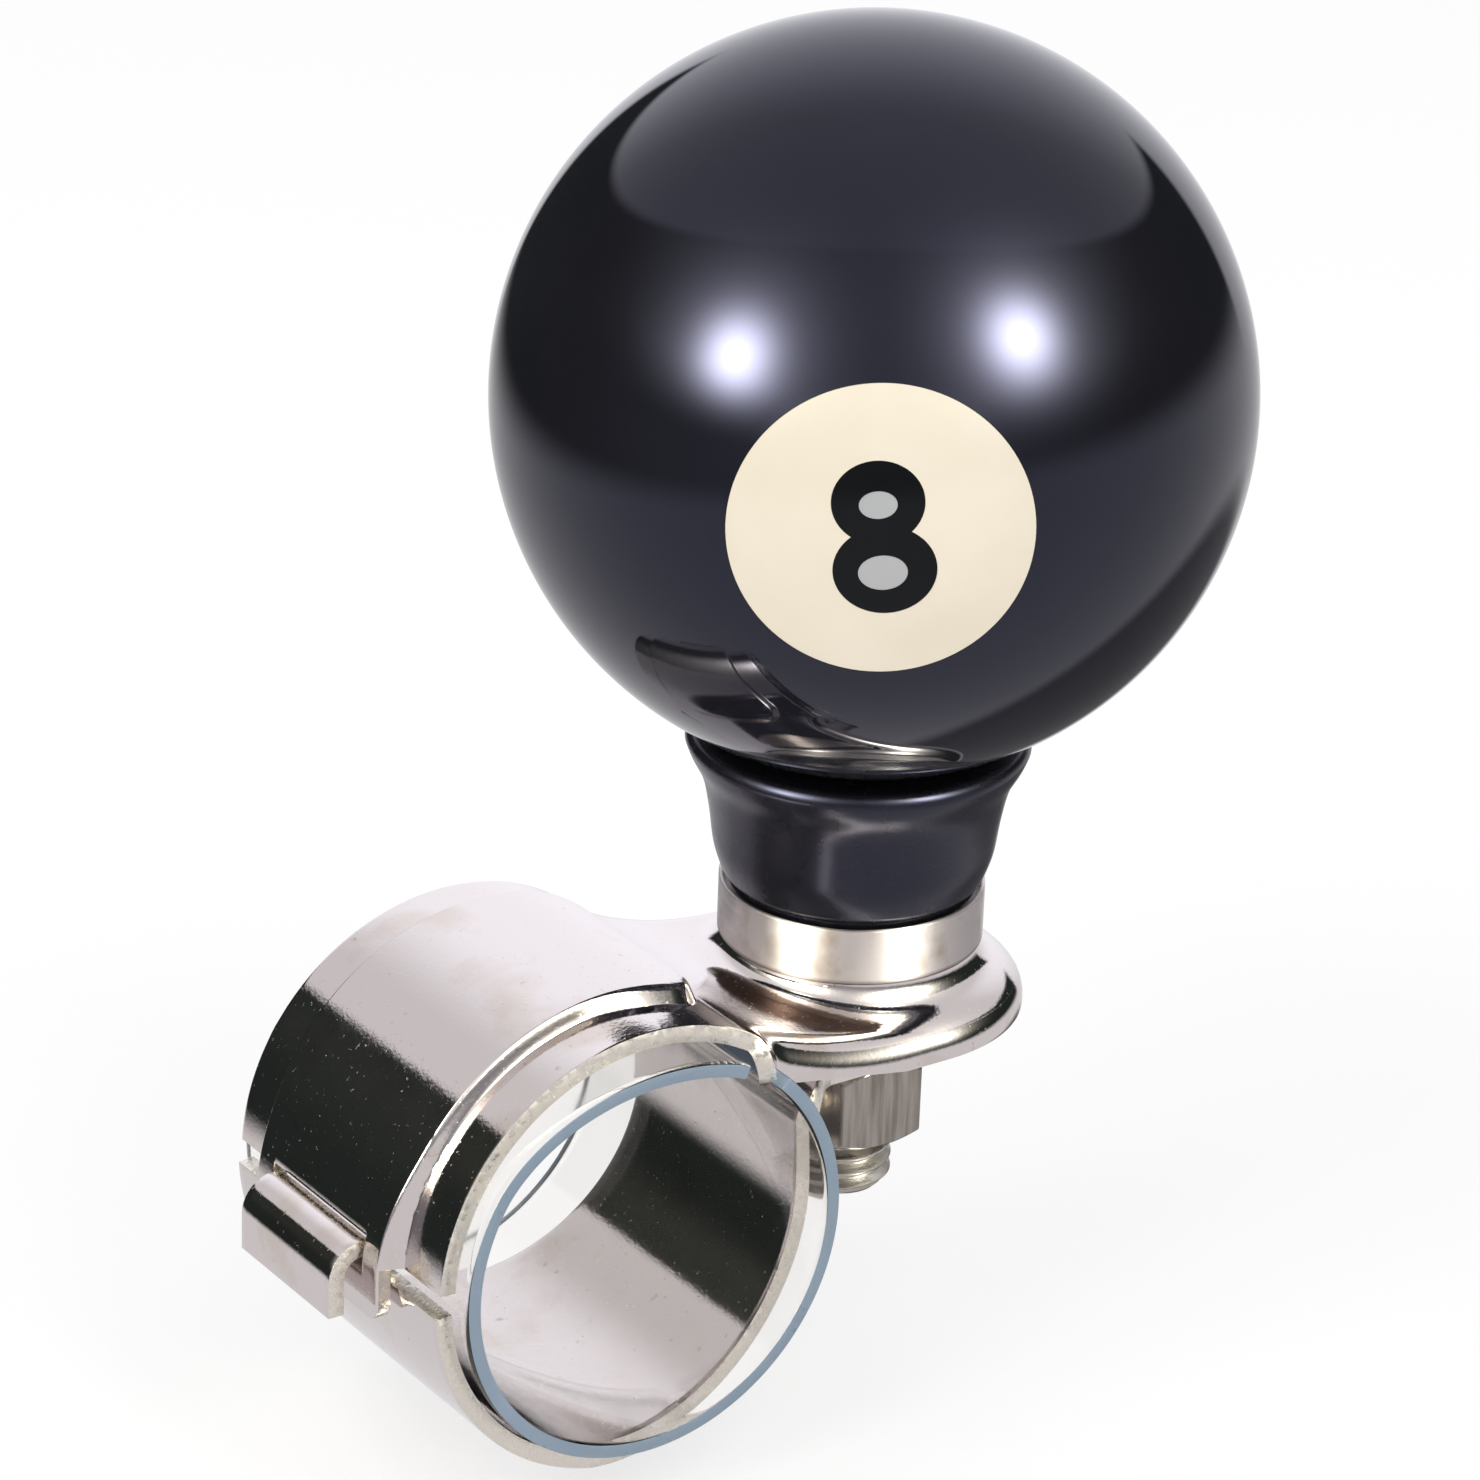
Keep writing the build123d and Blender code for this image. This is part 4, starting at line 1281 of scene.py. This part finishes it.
# %% Discs and figures
COUNTER_REACH = 0.6          # the pale resin reaches this far under the figure
DISC_DEEP = -1.5             # the disc's wall goes down this far
for name, axes in (("front", front_axes), ("rear", rear_axes)):
    disc_rows = [disc_row(axes, DISC_R * k / 60) for k in range(61)]
    disc_rows.append(disc_row(axes, DISC_R, DISC_DEEP))
    disc = new_piece(f"{name}_cream_disc", [disc_resin, counter_resin],
                     net(disc_rows, loop_columns=True))
    unturn = axes.transposed()
    for face in disc.data.polygons:
        x, y, _ = unturn @ (face.center / MM - centre)
        x, y = lean(x, y, -LEAN)
        inside = any(in_oval(x, y, middle_of, radii, COUNTER_REACH)
                     for _, _, middle_of, radii in FIGURE.values())
        face.material_index = 1 if inside else 0
    finish(disc, "knob", [f"{name}_number_disc"], smooth=30)

    nets = []
    for part, proud in (("upper", 0.012), ("lower", 0.015)):
        inlay = [[on_ball(axes, *point) for point in row] for row in ring_rows(part, proud)]
        nets.append(net(inlay, loop_columns=True, loop_rows=True))
    figure = new_piece(f"{name}_figure_eight", [figure_resin], *nets)
    finish(figure, "knob", [f"{name}_numeral"], smooth=30)

# %% [markdown]
# ## The pieces that stay from the working model
# The bearing, the clip and the bush are hidden by the neck. They could be left as they are,
# but each one gets the finish of its metal, so that a section or a loose part looks right.

# %% Finish the hidden pieces
HIDDEN = {
    "bearing_inner_race": ground_steel, "bearing_outer_race": ground_steel,
    "bearing_lower_shield": ground_steel, "bearing_upper_shield": ground_steel,
    "bearing_balls": ground_steel, "bearing_cage": turned_steel,
    "retaining_clip": spring_steel, "neck_stud": turned_steel, "ball_insert": brass,
}
for node, material in HIDDEN.items():
    stocks = frame["nodes"][node].data.materials
    stocks.clear()
    stocks.append(material)
print("finished:", ", ".join(HIDDEN))

# %% [markdown]
# ## The camera
# The camera stands in front and to the side, looking down a little with a long lens, as for
# a catalogue. It is placed by three angles and a distance, because they can be read off one
# at a time, and the picture's lean is a small roll about the line of sight.

# %% Camera
AZIMUTH, ELEVATION, ROLL = math.radians(-35.26), math.radians(24.0), math.radians(2.09)
DISTANCE = 453.2
AIM_RIGHT, AIM_UP = 15.08, 32.41             # where it looks, from the frame's origin
LENS = 145.9
back = Vector((math.sin(AZIMUTH) * math.cos(ELEVATION),
               -math.cos(AZIMUTH) * math.cos(ELEVATION), math.sin(ELEVATION)))
flat_right = Vector((math.cos(AZIMUTH), math.sin(AZIMUTH), 0))
flat_up = back.cross(flat_right)
right = math.cos(ROLL) * flat_right + math.sin(ROLL) * flat_up
up = -math.sin(ROLL) * flat_right + math.cos(ROLL) * flat_up
stand = AIM_RIGHT * right + AIM_UP * up + DISTANCE * back

camera_data = bpy.data.cameras.new("camera")
camera_data.sensor_width = 36
camera_data.lens = LENS
camera_data.clip_start = 0.01
camera = bpy.data.objects.new("camera", camera_data)
bpy.context.scene.collection.objects.link(camera)
view_axes = Matrix((right, up, back)).transposed().to_4x4()
camera.matrix_world = Matrix.Translation(stand * MM) @ view_axes
bpy.context.scene.camera = camera
print("camera at", [round(c) for c in stand], "mm")

# %% [markdown]
# ## The floor
# The part stands on white paper. The floor lies just below the lowest place that the slack
# strap reaches when it swings, so no pose goes through it. Paper under a soft light would
# come out grey beside a white world, so a share of it glows, but only for the camera and for
# what is seen through the clear sleeve. Mirrors skip it, because the world already holds the
# floor that they see.

# %% Floor
FLOOR_REACH = 4.0            # in metres
swing = joints["strap_swing"]
swing_x, swing_z = swing["pos_m"][0] / MM, swing["pos_m"][2] / MM
limit = math.radians(swing["range_deg"][1])
lowest = min(swing_z + (z - swing_z) * math.cos(limit) - (x - swing_x) * math.sin(limit)
             for x, z in middle)
floor_z = (lowest - SHEET) * MM
corners = [(-FLOOR_REACH, -FLOOR_REACH, floor_z), (FLOOR_REACH, -FLOOR_REACH, floor_z),
           (FLOOR_REACH, FLOOR_REACH, floor_z), (-FLOOR_REACH, FLOOR_REACH, floor_z)]
floor_mesh = bpy.data.meshes.new("floor")
floor_mesh.from_pydata(corners, [], [(0, 1, 2, 3)])
floor = bpy.data.objects.new("floor", floor_mesh)
bpy.context.scene.collection.objects.link(floor)
floor.visible_glossy = False
floor.visible_transmission = False
print(f"floor at {floor_z / MM:.1f} mm, below the strap at its lowest")

# %% White paper
PAPER_GLOW = 0.68            # the share of the paper that glows to the camera


def seen_directly(tree):
    """1 for a ray from the camera, straight or through something clear, and 0 for others."""
    camera_ray = add(tree, "LightPath", output="Is Camera Ray")
    clear_ray = add(tree, "LightPath", output="Is Transmission Ray")
    return add(tree, "Math", (camera_ray, clear_ray), operation="MAXIMUM")


paper, tree, shader = new_material(
    "white_paper", Roughness=0.95, Base_Color=colour("#F8F8F8"), Specular_IOR_Level=0.0)
share = add(tree, "Math", (seen_directly(tree), PAPER_GLOW), operation="MULTIPLY")
own_light = add(tree, "Emission", {"Color": (1, 1, 1, 1), "Strength": 1.0})
mixed = add(tree, "MixShader", (share, shader.outputs[0], own_light))
tree.links.new(mixed, tree.nodes["Material Output"].inputs["Surface"])
floor_mesh.materials.append(paper)
print("the floor is", paper.name)

# %% [markdown]
# ## The lamps
# Two soft boxes stand left and right of the camera. One lamp would leave half the ball dead.
# They light only what is matt: what mirrors see of them is drawn in the world, where its
# shape can be set freely.

# %% Lamps
LAMP_AIM = Vector((knob_x / 2, 0, 25))       # between the clamp and the ball
LAMP_LIFT = Vector((0, 0, 0.5))


def soft_lamp(name, direction, far, size, power):
    """A square soft lamp, far mm away from what it lights, that mirrors don't see."""
    data = bpy.data.lights.new(name, "AREA")
    data.size = size * MM
    data.energy = power
    lamp = bpy.data.objects.new(name, data)
    bpy.context.scene.collection.objects.link(lamp)
    spot = LAMP_AIM + direction.normalized() * far
    facing_it = direction.to_track_quat("Z", "Y").to_matrix().to_4x4()
    lamp.matrix_world = Matrix.Translation(spot * MM) @ facing_it
    lamp.visible_glossy = False
    return lamp


to_left = -0.631 * right + 0.233 * up + 0.741 * back + LAMP_LIFT
to_right = 0.669 * right + 0.276 * up + 0.69 * back + LAMP_LIFT
lamps = [soft_lamp("left_lamp", to_left, 900, 500, 3.0),
         soft_lamp("right_lamp", to_right, 900, 500, 2.2)]
print("lamps:", ", ".join(f"{lamp.name} {lamp.data.energy:.1f} W" for lamp in lamps))

# %% [markdown]
# ## The studio
# Polished plate shows what stands round it, so the studio matters as much as the metal. A
# room could be built of cards and boxes, but each would also change the light. The world is
# split by what looks at it: the camera sees white, matt things are lit by an even soft
# white, and mirrors see a dim room with soft boxes, a pale floor and a few black cards,
# which is what makes a black ball read as black and bent plate read as bent. Each card is a
# cone of directions, 1 inside and 0 outside, with a soft edge.

# %% Directions and cards
world = bpy.data.worlds.new("studio")
bpy.context.scene.world = world
world.use_nodes = True
tree = world.node_tree
tree.nodes.clear()
heading = add(tree, "TexCoord", output="Generated")
level_back = Vector((back.x, back.y, 0)).normalized()


def towards(turn, height):
    """A direction: turn degrees to the right of the camera's own side, height degrees up."""
    turn, height = math.radians(turn), math.radians(height)
    level = level_back * math.cos(turn) + flat_right * math.sin(turn)
    return level * math.cos(height) + Vector((0, 0, math.sin(height)))


def facing(direction):
    """How nearly the view looks along a direction: 1 along it, -1 away from it."""
    ends = (heading, tuple(direction.normalized()))
    return add(tree, "VectorMath", ends, operation="DOT_PRODUCT")


def cap(direction, half_angle, softness):
    """1 inside a cone about a direction and 0 outside it, angles in degrees."""
    outer = math.cos(math.radians(half_angle + softness / 2))
    inner = math.cos(math.radians(half_angle - softness / 2))
    limits = (facing(direction), outer, inner)
    return add(tree, "MapRange", limits, interpolation_type="SMOOTHSTEP")


def glow(picture, direction, tight, strength):
    """Add a lamp's round glow; a higher tight makes it smaller."""
    spot = add(tree, "Math", (facing(direction), 0.0), operation="MAXIMUM")
    spot = add(tree, "Math", (spot, float(tight)), operation="POWER")
    spot = add(tree, "Math", (spot, cap(towards(0, 90), 80, 20)), operation="MULTIPLY")
    tint = (1.08 * strength, 1.06 * strength, 0.90 * strength)
    return add(tree, "VectorMath", (spot, tint, picture), operation="MULTIPLY_ADD")


print("the camera's own side is at", [round(c, 2) for c in level_back])

# %% What mirrors see
LEFT_BOX, RIGHT_BOX = towards(-47, 24), towards(50, 31)
GLOWS = ((70, 40.0), (20, 6.5), (8, 1.3))    # how tight and how strong, from core to haze
window = cap(towards(180, 22), 30, 34)
picture = add(tree, "Mix", (window, colour("#E4E2E4"), (1.2, 1.2, 1.28, 1)), data_type="RGBA")

front_card, left_card = cap(towards(0, -62.6), 126, 3), cap(towards(-105, 82), 101, 10)
gap = add(tree, "Math", (1.0, cap(towards(171, -5), 27, 4)), operation="SUBTRACT")
dim = add(tree, "Math", (front_card, left_card), operation="MULTIPLY")
dim = add(tree, "Math", (dim, gap), operation="MULTIPLY")
low, high = cap(towards(0, -2), 58, 66), cap(towards(0, 60), 50, 56)
dark = add(tree, "Mix", (low, colour("#262B29"), colour("#88888E")), data_type="RGBA")
dark = add(tree, "Mix", (high, dark, colour("#C4C2C4")), data_type="RGBA")
picture = add(tree, "Mix", (dim, picture, dark), data_type="RGBA")

back_card = cap(towards(146, -48), 24, 6)
picture = add(tree, "Mix", (back_card, picture, colour("#6E6E70")), data_type="RGBA")
for box in (LEFT_BOX, RIGHT_BOX):
    for tight, strength in GLOWS:
        picture = glow(picture, box, tight, strength)
print("studio picture of", len(tree.nodes), "nodes")

# %% What else sees the studio
shown = add(tree, "Mix", (seen_directly(tree), colour("#E2E2E2"), (1, 1, 1, 1)),
            data_type="RGBA")
bounces = add(tree, "LightPath", output="Glossy Depth")
mirrored = add(tree, "Math", (bounces, 0.5), operation="GREATER_THAN")
shown = add(tree, "Mix", (mirrored, shown, picture), data_type="RGBA")
sky = add(tree, "Background", {"Color": shown, "Strength": 1.0})
add(tree, "OutputWorld", {"Surface": sky})
bpy.context.scene.view_settings.view_transform = "Standard"
print("studio of", len(tree.nodes), "nodes")
